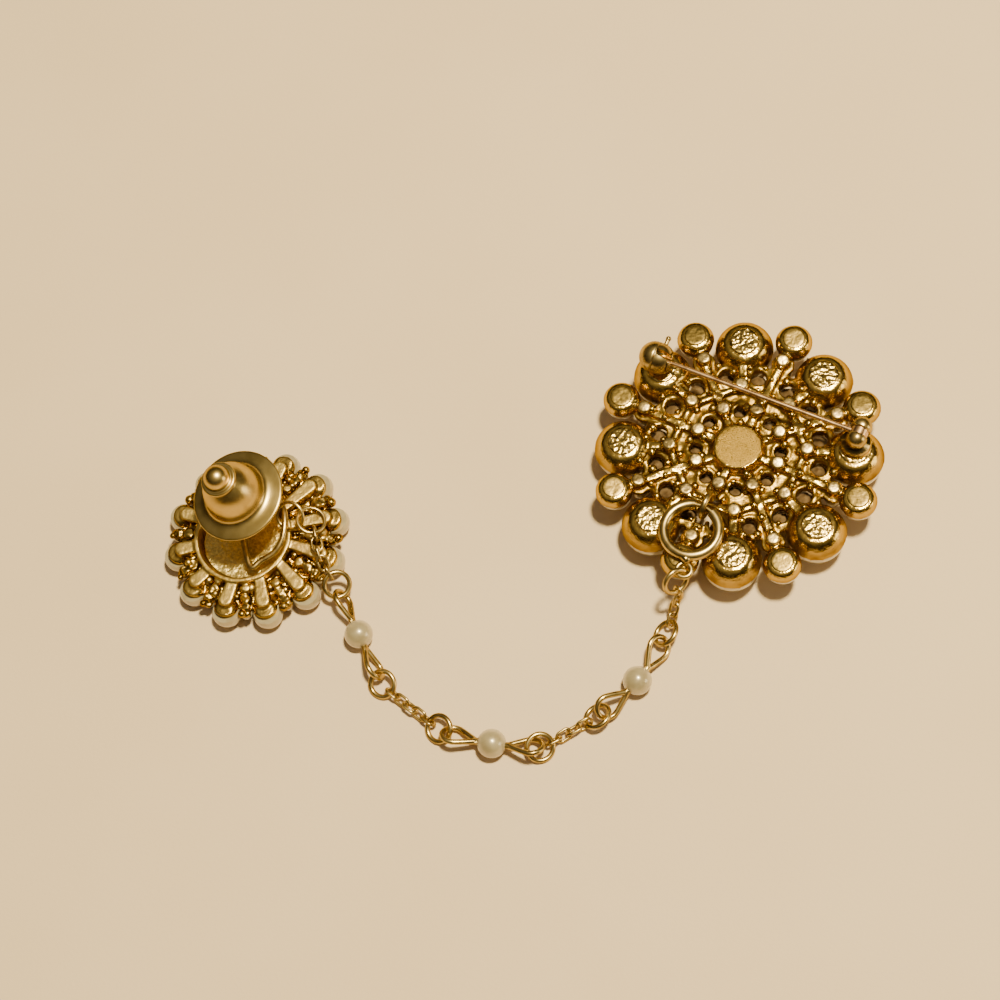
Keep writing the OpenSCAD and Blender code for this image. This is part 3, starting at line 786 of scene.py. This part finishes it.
@dataclass(frozen=True)
class WireLoop:
    """A closed wire link: outline length and width on the wire's centre line, and the wire's radius."""

    length: float
    width: float
    wire: float
    corner_steps: int = 7
    wire_steps: int = 12

    def mesh(self, frames: list[tuple[Vector, Matrix]], name: str,
             material: bpy.types.Material) -> bpy.types.Mesh:
        """Links at the given places, made by one node tree.

        Args:
            frames: Centres and axes of the links.
            name: The tree's name.
            material: The links' material.

        Returns:
            The links as one plain mesh.
        """
        places = bpy.data.meshes.new(name + "_places")
        places.from_pydata([f[0] for f in frames], [], [])
        turn = places.attributes.new("turn", "FLOAT_VECTOR", "POINT")
        for item, (_, axes) in zip(turn.data, frames):
            item.vector = axes.to_euler()[:]
        tree = Tree(name, {
            "Length": ("NodeSocketFloat", self.length * MM),
            "Width": ("NodeSocketFloat", self.width * MM),
            "Wire": ("NodeSocketFloat", self.wire * MM),
        })
        length, width, wire = tree.start.outputs[1:4]
        outline = tree.add("GeometryNodeCurvePrimitiveQuadrilateral", Width=length, Height=width)
        just_under_half = 0.499
        half = tree.add("ShaderNodeMath", {"operation": "MULTIPLY"})
        tree.group.links.new(width, half.inputs[0])
        half.inputs[1].default_value = just_under_half
        round_ends = tree.add("GeometryNodeFilletCurve", {"mode": "POLY"}, Curve=outline.outputs[0],
                              Count=self.corner_steps, Radius=half.outputs[0])
        section = tree.add("GeometryNodeCurvePrimitiveCircle", Resolution=self.wire_steps, Radius=wire)
        tube = tree.add("GeometryNodeCurveToMesh", Curve=round_ends.outputs[0],
                        Profile_Curve=section.outputs[0])
        named = tree.add("GeometryNodeInputNamedAttribute", {"data_type": "FLOAT_VECTOR"}, Name="turn")
        facing = tree.add("FunctionNodeEulerToRotation", Euler=named.outputs[0])
        points = tree.add("GeometryNodeMeshToPoints", Mesh=tree.start.outputs[0])
        laid = tree.add("GeometryNodeInstanceOnPoints", Points=points.outputs[0], Instance=tube.outputs[0],
                        Rotation=facing.outputs[0])
        return tree.run(laid.outputs[0], places, material)


def points_mesh(points: Iterable[Vector]) -> bpy.types.Mesh:
    """A mesh of loose points, in metres."""
    mesh = bpy.data.meshes.new("places")
    mesh.from_pydata([tuple(p) for p in points], [], [])
    return mesh


Profile = tuple[tuple[float, float], ...]


def flat_rings(step: float, count: int, height: float) -> Profile:
    """The rings of a flat face, close enough to carry a relief: radius and height in millimetres."""
    return tuple((step * k, height) for k in range(count))


@dataclass(frozen=True)
class Boss:
    """A small round cast form set on many places, each turned and tilted a little."""

    profile: Profile
    steps: int = 48
    tilt_deg: float = 3.0
    grain_mm: float = 0.5
    depth_mm: float = 0.0
    seed: int = 1

    def mesh(self, places: Iterable[Vector], name: str, material: bpy.types.Material) -> bpy.types.Mesh:
        """Sets the form on the places.

        Args:
            places: Where it stands, in metres.
            name: The tree's name.
            material: The forms' material.

        Returns:
            All the forms as one plain mesh.
        """
        form = adopt(revolve(self.profile, Vector(), Vector((0, 0, 1)), self.steps), name + "_form", material)
        tree = Tree(name, {
            "Tilt": ("NodeSocketFloat", math.radians(self.tilt_deg)),
            "Seed": ("NodeSocketInt", self.seed),
            "Grain": ("NodeSocketFloat", 1.0 / (self.grain_mm * MM)),
            "Depth": ("NodeSocketFloat", self.depth_mm * MM),
        })
        tilt, seed, grain, depth = tree.start.outputs[1:5]
        back = tree.add("ShaderNodeMath", {"operation": "MULTIPLY"})
        tree.group.links.new(tilt, back.inputs[0])
        back.inputs[1].default_value = -1.0
        low = tree.add("ShaderNodeCombineXYZ", X=back.outputs[0], Y=back.outputs[0], Z=0.0)
        high = tree.add("ShaderNodeCombineXYZ", X=tilt, Y=tilt, Z=2 * math.pi)
        lean = tree.add("FunctionNodeRandomValue", {"data_type": "FLOAT_VECTOR"})
        for socket, value in ((0, low.outputs[0]), (1, high.outputs[0]), (8, seed)):
            tree.group.links.new(value, lean.inputs[socket])
        source = tree.add("GeometryNodeObjectInfo", {"transform_space": "ORIGINAL"}, Object=form)
        points = tree.add("GeometryNodeMeshToPoints", Mesh=tree.start.outputs[0])
        laid = tree.add("GeometryNodeInstanceOnPoints", Points=points.outputs[0],
                        Instance=source.outputs["Geometry"], Rotation=lean.outputs[0])
        relief = (grain, depth) if self.depth_mm else ()
        made = tree.run(laid.outputs[0], points_mesh(places), material, relief)
        bpy.data.objects.remove(form)
        return made


@dataclass(frozen=True)
class Nubs:
    """Beads of cast metal scattered over a face."""

    spacing_mm: float
    small_mm: float
    large_mm: float
    seed: int = 4
    per_square_metre: float = 4.0e6

    def mesh(self, base: bpy.types.Mesh, name: str, material: bpy.types.Material) -> bpy.types.Mesh:
        """Scatters the beads on a mesh.

        Args:
            base: The faces that they stand on, in metres.
            name: The tree's name.
            material: The beads' material.

        Returns:
            All the beads as one plain mesh.
        """
        tree = Tree(name, {
            "Spacing": ("NodeSocketFloat", self.spacing_mm * MM),
            "Smallest": ("NodeSocketFloat", self.small_mm * MM),
            "Largest": ("NodeSocketFloat", self.large_mm * MM),
            "Seed": ("NodeSocketInt", self.seed),
        })
        spacing, smallest, largest, seed = tree.start.outputs[1:5]
        spread = tree.add("GeometryNodeDistributePointsOnFaces", {"distribute_method": "POISSON"},
                          Mesh=tree.start.outputs[0], Distance_Min=spacing,
                          Density_Max=self.per_square_metre, Seed=seed)
        size = tree.add("FunctionNodeRandomValue", {"data_type": "FLOAT"})
        for socket, value in ((2, smallest), (3, largest), (8, seed)):
            tree.group.links.new(value, size.inputs[socket])
        ball = tree.add("GeometryNodeMeshIcoSphere", Radius=1.0, Subdivisions=3)
        laid = tree.add("GeometryNodeInstanceOnPoints", Points=spread.outputs[0], Instance=ball.outputs[0],
                        Rotation=spread.outputs["Rotation"], Scale=size.outputs[1])
        return tree.run(laid.outputs[0], base, material)


def part_of(mesh: bpy.types.Mesh, keep: Callable[[Vector, Vector], bool], name: str) -> bpy.types.Mesh:
    """The faces of a mesh that keep says yes to.

    Args:
        mesh: The mesh, in metres.
        keep: Takes a face's centre in millimetres and its normal.
        name: The new mesh's name.

    Returns:
        A new mesh of those faces, smooth shaded.
    """
    bm = bmesh.new()
    bm.from_mesh(mesh)
    gone = [f for f in bm.faces if not keep(f.calc_center_median() / MM, f.normal)]
    bmesh.ops.delete(bm, geom=gone, context="FACES")
    left = bpy.data.meshes.new(name)
    bm.to_mesh(left)
    bm.free()
    left.shade_smooth()
    return left


def rounded(mesh: bpy.types.Mesh, grow_mm: float) -> bpy.types.Mesh:
    """A mesh of few-sided wire made round by one step of subdivision.

    Args:
        mesh: The merged wire, in metres.
        grow_mm: How far the round wire is moved out again, as subdivision thins it.

    Returns:
        The round wire in metres.
    """
    obj = bpy.data.objects.new("wire", mesh)
    bpy.context.scene.collection.objects.link(obj)
    finer = obj.modifiers.new("Subdivision", "SUBSURF")
    finer.levels = finer.render_levels = 1
    plain(obj)
    wire = obj.data
    bpy.data.objects.remove(obj)
    displace(wire, lambda point, normal: grow_mm)
    wire.shade_smooth()
    return wire


def level(value: float, low: float, high: float) -> float:
    """Smooth step from 0 at low to 1 at high."""
    t = min(1.0, max(0.0, (value - low) / (high - low)))
    return t * t * (3.0 - 2.0 * t)


def middle(node: str) -> Vector:
    """The middle of a node's box, in metres."""
    low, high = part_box(node)
    return Vector([(a + b) / 2 for a, b in zip(low, high)])


# Outlines of the turned forms: radius and height in millimetres, from the axis outwards

HAMMERED_DISC: Profile = (
    *flat_rings(0.35, 4, 0.18), (1.35, 0.17), (1.6, 0.16), (1.85, 0.14), (2.02, 0.08), (2.1, -0.04),
    (2.12, -0.6))
PLAIN_DISC: Profile = (
    (0.0, 0.12), (0.5, 0.12), (1.0, 0.12), (1.35, 0.11), (1.5, 0.07), (1.57, -0.02), (1.58, -0.5))
CENTRE_PAD: Profile = (*flat_rings(0.6, 5, 0.04), (2.9, 0.03), (3.2, -0.03), (3.35, -0.16), (3.42, -0.5))
POST_HEAD: Profile = (
    (0.0, 0.2), (0.3, 0.2), (0.6, 0.19), (0.82, 0.15), (0.93, 0.05), (0.97, -0.1), (0.98, -0.4))
BOWL_SOLE: Profile = (
    *flat_rings(1.0, 5, 0.05), (4.8, 0.05), (5.4, 0.06), (5.75, 0.08), (5.9, 0.14), (6.05, 0.3))
CLUTCH_BRIM: Profile = (
    (0.0, 0.02), (6.2, 0.0), (6.5, 0.02), (6.62, 0.12), (6.65, 0.24), (6.62, 0.37), (6.5, 0.45), (6.3, 0.49),
    (5.9, 0.56), (5.6, 0.61), (5.2, 0.69), (4.9, 0.78))
CLUTCH_WAIST: Profile = (
    (4.66, 0.9), (4.48, 1.05), (4.34, 1.25), (4.24, 1.5), (4.18, 1.85), (4.13, 2.3), (4.05, 2.75),
    (3.96, 3.15), (3.85, 3.5), (3.7, 3.9), (3.53, 4.3), (3.34, 4.68), (3.12, 5.05), (2.88, 5.38), (2.6, 5.7))
CLUTCH_COLLAR: Profile = (
    (2.38, 5.95), (2.22, 6.14), (2.16, 6.26), (2.2, 6.36), (2.36, 6.44), (2.48, 6.54), (2.52, 6.7),
    (2.52, 6.84), (2.46, 6.98), (2.32, 7.06), (2.1, 7.06), (1.86, 6.98))
CLUTCH_BALL: Profile = (
    (1.78, 7.1), (1.8, 7.4), (1.76, 7.76), (1.62, 8.18), (1.38, 8.55), (1.05, 8.86), (0.66, 9.07),
    (0.3, 9.17), (0.0, 9.2))


# The object's sub-assemblies


@dataclass
class Finishes:
    """The materials that the sub-assemblies share."""

    cast: bpy.types.Material = field(default_factory=lambda: CastGold().build())
    # painted shade: the small cluster's casting is painted darker in its hollows, below 3.6 to 5.0 mm
    tack_cast: bpy.types.Material = field(
        default_factory=lambda: CastGold(
            name="tack_cast_gold", bright=(0.60, 0.42, 0.12), recess_shade=(0.25, 0.14, 0.02), recess_mm=(3.6, 5.0),
            rough=(0.34, 0.2)).build())
    hammered: bpy.types.Material = field(default_factory=lambda: HammeredGold().build())
    sandy: bpy.types.Material = field(default_factory=lambda: SandyGold().build())
    olive: bpy.types.Material = field(
        default_factory=lambda: SandyGold(
            name="olive_gold", bright=(0.36, 0.245, 0.065), grain_mm=0.5, depth_mm=0.02,
            swell_mm=0.08, rough=0.24).build())
    bowl: bpy.types.Material = field(
        default_factory=lambda: SandyGold(
            name="bowl_gold", bright=(0.90, 0.68, 0.21), grain_mm=0.4, depth_mm=0.1,
            swell_mm=0.25, rough=0.26).build())
    head: bpy.types.Material = field(
        default_factory=lambda: SandyGold(
            name="head_gold", bright=(0.70, 0.50, 0.19), grain_mm=0.4, depth_mm=0.03,
            swell_mm=0.06, rough=0.2).build())
    brass: bpy.types.Material = field(default_factory=lambda: SatinBrass().build())
    copper: bpy.types.Material = field(default_factory=lambda: DrawnCopper().build())
    pearl: bpy.types.Material = field(default_factory=lambda: PearlCoat().build())
    stone: bpy.types.Material = field(default_factory=lambda: SmokyStone().build())


@dataclass
class LargeCluster:
    """The large openwork cluster with its bar pin, catch and hinge."""

    nodes: dict[str, bpy.types.Object]
    finish: Finishes
    voxel_mm: float = 0.215
    smoothing: int = 2
    lump_mm: float = 0.17
    # smooth steps of the relief, from where it starts to where it is full
    openwork_edge: tuple[float, float] = (12.8, 14.2)
    pad_edge: tuple[float, float] = (3.4, 4.4)
    post_tops: tuple[float, float] = (6.9, 7.4)
    bolt_edge: tuple[float, float] = (0.6, 1.1)
    bolt_low: tuple[float, float] = (6.4, 7.0)
    hinge: Vector = field(default_factory=lambda: Vector((47.2, 12.4, 10.1)))
    catch: Vector = field(default_factory=lambda: Vector((19.7, 23.9, 10.1)))
    clasp: Vector = field(default_factory=lambda: Vector((24.6, -1.1, 8.35)))
    clasp_ring_mm: float = 3.75
    clasp_room_mm: float = 0.2
    # no post head stands this near to the loop that the clasp hooks on
    loop_room: float = 2.2
    fitting_mm: float = 4.3
    fitting_foot: float = 7.75
    # ring radius, first angle in degrees, top
    post_rings: tuple[tuple[float, float, float], ...] = (
        (6.1, 22.5, 7.42), (9.5, 0.0, 7.32), (14.5, 22.5, 7.12))
    per_ring: int = 8
    turn_deg: float = -2.6
    pad_top: float = 7.12
    large_r: float = 4.0
    small_r: float = 2.5
    # zones that fill the caps, over the pearls' middles: lower and upper cut
    large_cap: tuple[float, float] = (0.55, 3.3)
    small_cap: tuple[float, float] = (0.35, 1.88)
    centre_cap: tuple[float, float] = (1.1, 2.3)
    cap_wall: float = 0.14
    centre_wall: float = 0.13
    large_disc_top: float = 7.4
    small_disc_top: float = 4.45
    centre: Vector = field(default_factory=Vector)

    def build(self) -> None:
        """Makes and dresses every piece of the cluster."""
        place = middle("centre_pearl")
        self.centre = Vector((place.x, place.y, 0.0))
        source = cad_copy("brooch_frame", self.nodes)
        self.fittings(source)
        self.cast_skin(source)
        self.discs()
        self.post_heads()
        for name, obj in self.nodes.items():
            if "pearl" in name and not name.startswith(("tack", "chain")):
                dress_node(obj, self.finish.pearl)
        dress_node(self.nodes["inner_stones"], self.finish.stone)
        dress_node(self.nodes["pin_stem"], self.finish.copper)
        dress_node(self.nodes["catch_lever"], self.finish.brass)

    def at_fitting(self, point: Vector, foot: float) -> bool:
        """Whether a point in millimetres is on the hinge or the catch, above their foot."""
        near = min((point.xy - place.xy).length for place in (self.hinge, self.catch))
        return point.z > foot and near < self.fitting_mm

    def fittings(self, source: bpy.types.Mesh) -> None:
        """The hinge's balls and the catch's cradle, as they are in the CAD."""
        mesh = part_of(source, lambda p, n: self.at_fitting(p, self.fitting_foot - 0.1), "fittings")
        settle(adopt(mesh, "hinge_and_catch", self.finish.brass), Body.PIECE, Slot.PALE_GOLD)

    def cap_fillers(self) -> list[bpy.types.Mesh]:
        """Solid zones inside the thin gold caps, so that the skin has no holes there."""
        made = []
        sizes = (("large", self.large_r, self.large_cap), ("small", self.small_r, self.small_cap))
        for k in range(1, self.per_ring + 1):
            for size, radius, (low, high) in sizes:
                name = f"rim_pearl_{size}_{k}"
                place = middle(name)
                place.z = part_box(name)[0].z + radius * MM
                made.append(dome(place, (radius + self.cap_wall) * MM, low * MM, high * MM, 64))
        place = middle("centre_pearl")
        place.z = self.large_r * MM
        low, high = self.centre_cap
        made.append(dome(place, (self.large_r + self.centre_wall) * MM, low * MM, high * MM))
        return made

    def lift(self, point: Vector, normal: Vector) -> float:
        """Relief of the casting: lumpy between the posts and almost smooth on the caps."""
        reach = (point.xy - self.centre.xy / MM).length
        inside = 1.0 - level(reach, *self.openwork_edge)
        open_work = inside * level(reach, *self.pad_edge) * (1.0 - 0.7 * level(point.z, *self.post_tops))
        lumps = noise.noise(point * 0.6) + 0.4 * noise.noise(point * 1.4 + Vector((7.0, 3.0, 1.0)))
        relief = self.lump_mm * lumps * (0.12 + 0.88 * open_work)
        off_path = abs((point.xy - self.clasp.xy).length - self.clasp_ring_mm)
        under_bolt = (1.0 - level(off_path, *self.bolt_edge)) * level(point.z, *self.bolt_low)
        return relief * (1.0 - under_bolt) - self.clasp_room_mm * under_bolt

    def cast_skin(self, source: bpy.types.Mesh) -> None:
        """The cast openwork as one softened skin over the CAD solid, with beads of metal on it."""
        skin = voxel_skin(join([source, *self.cap_fillers()]), self.voxel_mm, self.smoothing)
        displace(skin, self.lift)
        skin = part_of(skin, lambda p, n: not self.at_fitting(p, self.fitting_foot + 0.15), "skin")
        centre = self.centre.xy / MM

        def between_posts(point: Vector, normal: Vector) -> bool:
            """Whether a face of the skin lies level and low between the pad and the caps."""
            return normal.z > 0.4 and 5.2 < point.z < 6.9 and 4.0 < (point.xy - centre).length < 13.6

        floor = part_of(skin, between_posts, "nub_floor")
        settle(adopt(skin, "cast_openwork", self.finish.cast), Body.PIECE, Slot.CAST_GOLD, "brooch_frame")
        beads = Nubs(2.1, 0.35, 0.72).mesh(floor, "scattered_beads", self.finish.cast)
        settle(adopt(beads, "cast_beads", self.finish.cast), Body.PIECE, Slot.CAST_GOLD)

    def discs(self) -> None:
        """The hammered and plain discs on the rim caps, and the stamped pad left bare."""
        big, small = [], []
        sizes = ((big, "large", self.large_disc_top), (small, "small", self.small_disc_top))
        for k in range(1, self.per_ring + 1):
            for places, size, top in sizes:
                name = f"rim_pearl_{size}_{k}"
                place = middle(name)
                place.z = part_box(name)[0].z + top * MM
                places.append(place)
        hammered = Boss(HAMMERED_DISC, 72, tilt_deg=2.0, grain_mm=0.42, depth_mm=0.34, seed=3)
        mesh = hammered.mesh(big, "hammered_discs", self.finish.hammered)
        settle(adopt(mesh, "large_cap_discs", self.finish.hammered), Body.PIECE, Slot.CAST_GOLD)
        smooth = Boss(PLAIN_DISC, 56, tilt_deg=3.0, grain_mm=0.5, depth_mm=0.05, seed=5)
        mesh = smooth.mesh(small, "plain_discs", self.finish.olive)
        settle(adopt(mesh, "small_cap_discs", self.finish.olive), Body.PIECE, Slot.CAST_GOLD)
        pad = Boss(CENTRE_PAD, 96, tilt_deg=0.0, grain_mm=0.35, depth_mm=0.09, seed=2)
        mesh = pad.mesh([self.centre + Vector((0, 0, self.pad_top * MM))], "pad_face", self.finish.sandy)
        settle(adopt(mesh, "centre_pad", self.finish.sandy), Body.PIECE, Slot.CAST_GOLD)

    def post_heads(self) -> None:
        """Smooth bright heads of the posts, each tilted its own way."""
        places = []
        for ring, first, top in self.post_rings:
            for k in range(self.per_ring):
                angle = math.radians(45.0 * k + first + self.turn_deg)
                head_at = Vector((ring * math.cos(angle), ring * math.sin(angle), top))
                places.append(self.centre + head_at * MM)
        clasp = middle("frame_loop")
        places = [p for p in places if (p.xy - clasp.xy).length > self.loop_room * MM]
        head = Boss(POST_HEAD, 32, tilt_deg=7.0, grain_mm=0.7, depth_mm=0.1, seed=8)
        mesh = head.mesh(places, "post_heads", self.finish.head)
        settle(adopt(mesh, "post_heads", self.finish.head), Body.PIECE, Slot.CAST_GOLD)


@dataclass
class SmallCluster:
    """The small cluster with its tack post, wire loop and clutch."""

    nodes: dict[str, bpy.types.Object]
    finish: Finishes
    voxel_mm: float = 0.16
    smoothing: int = 2
    lump_mm: float = 0.36
    # smooth steps of the relief, from where it starts to where it is full
    bowl_edge: tuple[float, float] = (6.9, 7.4)
    tab_tops: tuple[float, float] = (4.4, 4.9)
    web_low: tuple[float, float] = (2.4, 2.9)
    cap_edge: tuple[float, float] = (-0.6, 0.2)
    foot: Vector = field(default_factory=lambda: Vector((-36.75, 2.7, 3.5)))
    lean_deg: float = 9.5
    heading_deg: float = 194.0
    clutch_up: float = 8.6
    clutch_steps: int = 128
    bowl: Vector = field(default_factory=lambda: Vector((-39.0, -0.9, 3.5)))
    cap_mm: float = 2.25
    caps: list[Vector] = field(default_factory=list)

    def build(self) -> None:
        """Makes and dresses every piece of the cluster."""
        for name in ("tack_rim_pearls", "tack_small_pearls", "tack_centre_pearl"):
            dress_node(self.nodes[name], self.finish.pearl)
        dress_node(self.nodes["tack_stones"], self.finish.stone)
        self.caps = [place / MM for place, _ in loose_frames(cad_copy("tack_rim_pearls", self.nodes))]
        self.casting()
        self.bell()
        wire = rounded(cad_copy("tack_loop", self.nodes), 0.09)
        loop = adopt(wire, "wire_loop", self.finish.brass)
        settle(loop, Body.PIECE, Slot.CAST_GOLD, "tack_loop")

    @property
    def axis(self) -> Vector:
        """The post's direction, away from the bowl."""
        lean, heading = math.radians(self.lean_deg), math.radians(self.heading_deg)
        level_part = Vector((math.cos(heading), math.sin(heading), 0.0)) * math.sin(lean)
        return level_part + Vector((0.0, 0.0, math.cos(lean)))

    def off_caps(self, point: Vector) -> float:
        """Distance in millimetres from the nearest smooth cap, seen from above."""
        return min((point.xy - place.xy).length for place in self.caps) - self.cap_mm

    def lift(self, point: Vector, normal: Vector) -> float:
        """Relief of the casting: busy lumps outside the bowl, below the tabs' tops."""
        reach = (point.xy - self.bowl.xy).length
        outside = level(reach, *self.bowl_edge) * (1.0 - level(point.z, *self.tab_tops))
        outside *= level(point.z, *self.web_low)
        outside *= level(self.off_caps(point), *self.cap_edge)
        lumps = noise.noise(point * 0.8) + 0.5 * noise.noise(point * 1.8 + Vector((3.0, 5.0, 2.0)))
        return self.lump_mm * lumps * (0.08 + 0.92 * outside)

    def casting(self) -> None:
        """The cast bowl, tabs and web as one softened skin, the post as it is in the CAD."""
        source = cad_copy("tack_frame", self.nodes)
        post = part_of(source, lambda p, n: self.on_post(p), "post")
        settle(adopt(post, "tack_post", self.finish.brass), Body.PIECE, Slot.PALE_GOLD)
        skin = voxel_skin(source, self.voxel_mm, self.smoothing)
        displace(skin, self.lift)
        skin = part_of(skin, lambda p, n: not (self.on_post(p) and p.z > 4.6), "skin")

        def between_tabs(point: Vector, normal: Vector) -> bool:
            """Whether a face of the skin lies low on the web, clear of the bowl and the caps."""
            off_bowl = (point.xy - self.bowl.xy).length > 7.3
            return normal.z > 0.3 and 2.9 < point.z < 4.6 and off_bowl and self.off_caps(point) > 0.2

        floor = part_of(skin, between_tabs, "nub_floor")
        settle(adopt(skin, "tack_casting", self.finish.tack_cast), Body.PIECE, Slot.CAST_GOLD, "tack_frame")
        grainy = Boss(BOWL_SOLE, 120, tilt_deg=0.0, grain_mm=0.8, depth_mm=0.16, seed=6)
        sole = grainy.mesh([self.bowl * MM], "bowl_sole", self.finish.bowl)
        settle(adopt(sole, "bowl_sole", self.finish.bowl), Body.PIECE, Slot.CAST_GOLD)
        beads = Nubs(2.3, 0.4, 0.8, 9).mesh(floor, "tack_beads", self.finish.tack_cast)
        settle(adopt(beads, "tack_beads", self.finish.tack_cast), Body.PIECE, Slot.CAST_GOLD)

    def on_post(self, point: Vector) -> bool:
        """Whether a point in millimetres is on the tack post."""
        up = (point - self.foot).dot(self.axis)
        return up > 0.15 and (point - self.foot - up * self.axis).length < 1.0

    def bell(self) -> None:
        """The spun clutch: hemmed brim, bell, collar and ball."""
        centre = (self.foot + self.axis * self.clutch_up) * MM
        spun = SpunBrass("spun_clutch", centre, self.axis).build()
        outline = CLUTCH_BRIM + CLUTCH_WAIST + CLUTCH_COLLAR + CLUTCH_BALL
        mesh = revolve(outline, centre, self.axis, self.clutch_steps)
        settle(adopt(mesh, "clutch_bell", spun), Body.CLUTCH, Slot.PALE_GOLD, "clutch")


@dataclass
class Chain:
    """The chain, its pearls, its rings and the spring-ring clasp."""

    nodes: dict[str, bpy.types.Object]
    finish: Finishes
    link: WireLoop = field(default_factory=lambda: WireLoop(2.2, 1.4, 0.21))

    def build(self) -> None:
        """Makes and dresses every piece of the chain."""
        for name in ("cable_links_tack", "cable_links_low", "cable_links_mid", "cable_links_clasp"):
            frames = loose_frames(cad_copy(name, self.nodes))
            mesh = self.link.mesh(frames, name + "_run", self.finish.brass)
            run = adopt(mesh, name.replace("cable_links", "links"), self.finish.brass)
            settle(run, Body.PIECE, Slot.PALE_GOLD, name)
        for name, obj in self.nodes.items():
            if name.startswith("eye_wire"):
                wire = rounded(cad_copy(name, self.nodes), 0.06)
                settle(adopt(wire, name + "_round", self.finish.brass), Body.PIECE, Slot.PALE_GOLD, name)
            elif name.startswith(("jump_ring", "end_ring", "clasp", "frame_loop")):
                dress_node(obj, self.finish.brass)
            elif name.startswith("chain_pearl"):
                dress_node(obj, self.finish.pearl)


@dataclass(frozen=True)
class Studio:
    """Camera at the photograph's angle, a plain pale floor and soft light."""

    elevation: float = 66.5
    azimuth: float = -21.1
    roll: float = -19.5
    distance_mm: float = 300.0
    focal_px: float = 2100.0
    image_px: float = 1000.0
    sensor_mm: float = 36.0
    target_mm: tuple[float, float, float] = (-3.2, 6.8, 0.0)
    floor_mm: float = 900.0
    sky_strength: float = 0.36
    # the room's light from below to above: place on the ramp and colour
    sky: tuple[tuple[float, Colour], ...] = (
        (0.0, (0.05, 0.036, 0.025)), (0.45, (0.12, 0.09, 0.06)), (0.72, (0.55, 0.46, 0.33)),
        (1.0, (1.0, 0.86, 0.66)))

    def camera(self) -> None:
        """Makes the scene's camera."""
        el, az, ro = (math.radians(v) for v in (self.elevation, self.azimuth, self.roll))
        ahead = Vector((math.sin(az) * math.cos(el), math.cos(az) * math.cos(el), -math.sin(el)))
        right = Vector((math.cos(az), -math.sin(az), 0.0))
        up = right.cross(ahead)
        turned_right = math.cos(ro) * right + math.sin(ro) * up
        turned_up = -math.sin(ro) * right + math.cos(ro) * up
        data = bpy.data.cameras.new("Camera")
        data.sensor_width = self.sensor_mm
        data.lens = self.sensor_mm * self.focal_px / self.image_px
        data.shift_y = -1.0 / self.image_px
        data.clip_start, data.clip_end = 0.01, 10.0
        obj = bpy.data.objects.new("Camera", data)
        bpy.context.scene.collection.objects.link(obj)
        axes = Matrix((turned_right, turned_up, -ahead)).transposed()
        place = (Vector(self.target_mm) - ahead * self.distance_mm) * MM
        obj.matrix_world = Matrix.Translation(place) @ axes.to_4x4()
        bpy.context.scene.camera = obj

    def floor(self) -> None:
        """Makes the plain floor."""
        bm = bmesh.new()
        bmesh.ops.create_grid(bm, x_segments=4, y_segments=4, size=self.floor_mm * MM)
        mesh = bpy.data.meshes.new("table")
        bm.to_mesh(mesh)
        bm.free()
        adopt(mesh, "table", PalePaper().build())

    def lamp(self, name: str, aim: Vector, size_mm: float, power: float, colour: Colour) -> None:
        """Adds a round soft lamp that looks at the object.

        Args:
            name: The lamp's name.
            aim: Its place in millimetres.
            size_mm: Its diameter.
            power: Its power in watts.
            colour: Its colour.
        """
        data = bpy.data.lights.new(name, "AREA")
        data.shape, data.size, data.energy, data.color = "DISK", size_mm * MM, power, colour
        obj = bpy.data.objects.new(name, data)
        bpy.context.scene.collection.objects.link(obj)
        obj.location = aim * MM
        obj.rotation_mode = "QUATERNION"
        obj.rotation_quaternion = (-aim).to_track_quat("-Z", "Y")

    def lamps(self) -> None:
        """Makes the lamp overhead and the weak glow from the right."""
        self.lamp("ceiling_lamp", Vector((150.0, 50.0, 635.0)), 75.0, 9.6, (1.0, 0.87, 0.58))
        self.lamp("wall_glow", Vector((600.0, -70.0, 130.0)), 240.0, 1.0, (1.0, 0.86, 0.60))

    def room(self) -> None:
        """Makes the dim room round the table, lightest overhead."""
        world = bpy.data.worlds.new("room")
        bpy.context.scene.world = world
        world.use_nodes = True
        tree = world.node_tree
        tree.nodes.clear()
        sky = tree.nodes.new("ShaderNodeBackground")
        sky.inputs["Strength"].default_value = self.sky_strength
        ramp = tree.nodes.new("ShaderNodeValToRGB")
        place = tree.nodes.new("ShaderNodeTexCoord")
        split = tree.nodes.new("ShaderNodeSeparateXYZ")
        out = tree.nodes.new("ShaderNodeOutputWorld")
        set_stops(ramp.color_ramp, self.sky)
        tree.links.new(place.outputs["Generated"], split.inputs[0])
        tree.links.new(split.outputs[2], ramp.inputs[0])
        tree.links.new(ramp.outputs[0], sky.inputs["Color"])
        tree.links.new(sky.outputs[0], out.inputs["Surface"])

    def build(self) -> None:
        """Makes the camera, the floor and the light."""
        self.camera()
        self.floor()
        self.lamps()
        self.room()


def main() -> None:
    """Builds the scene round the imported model."""
    logging.basicConfig(level=logging.INFO, format="%(name)s: %(message)s")
    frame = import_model()
    nodes = frame["nodes"]
    Studio().build()
    finishes = Finishes()
    LargeCluster(nodes, finishes).build()
    SmallCluster(nodes, finishes).build()
    Chain(nodes, finishes).build()


if __name__ == "__main__":
    main()
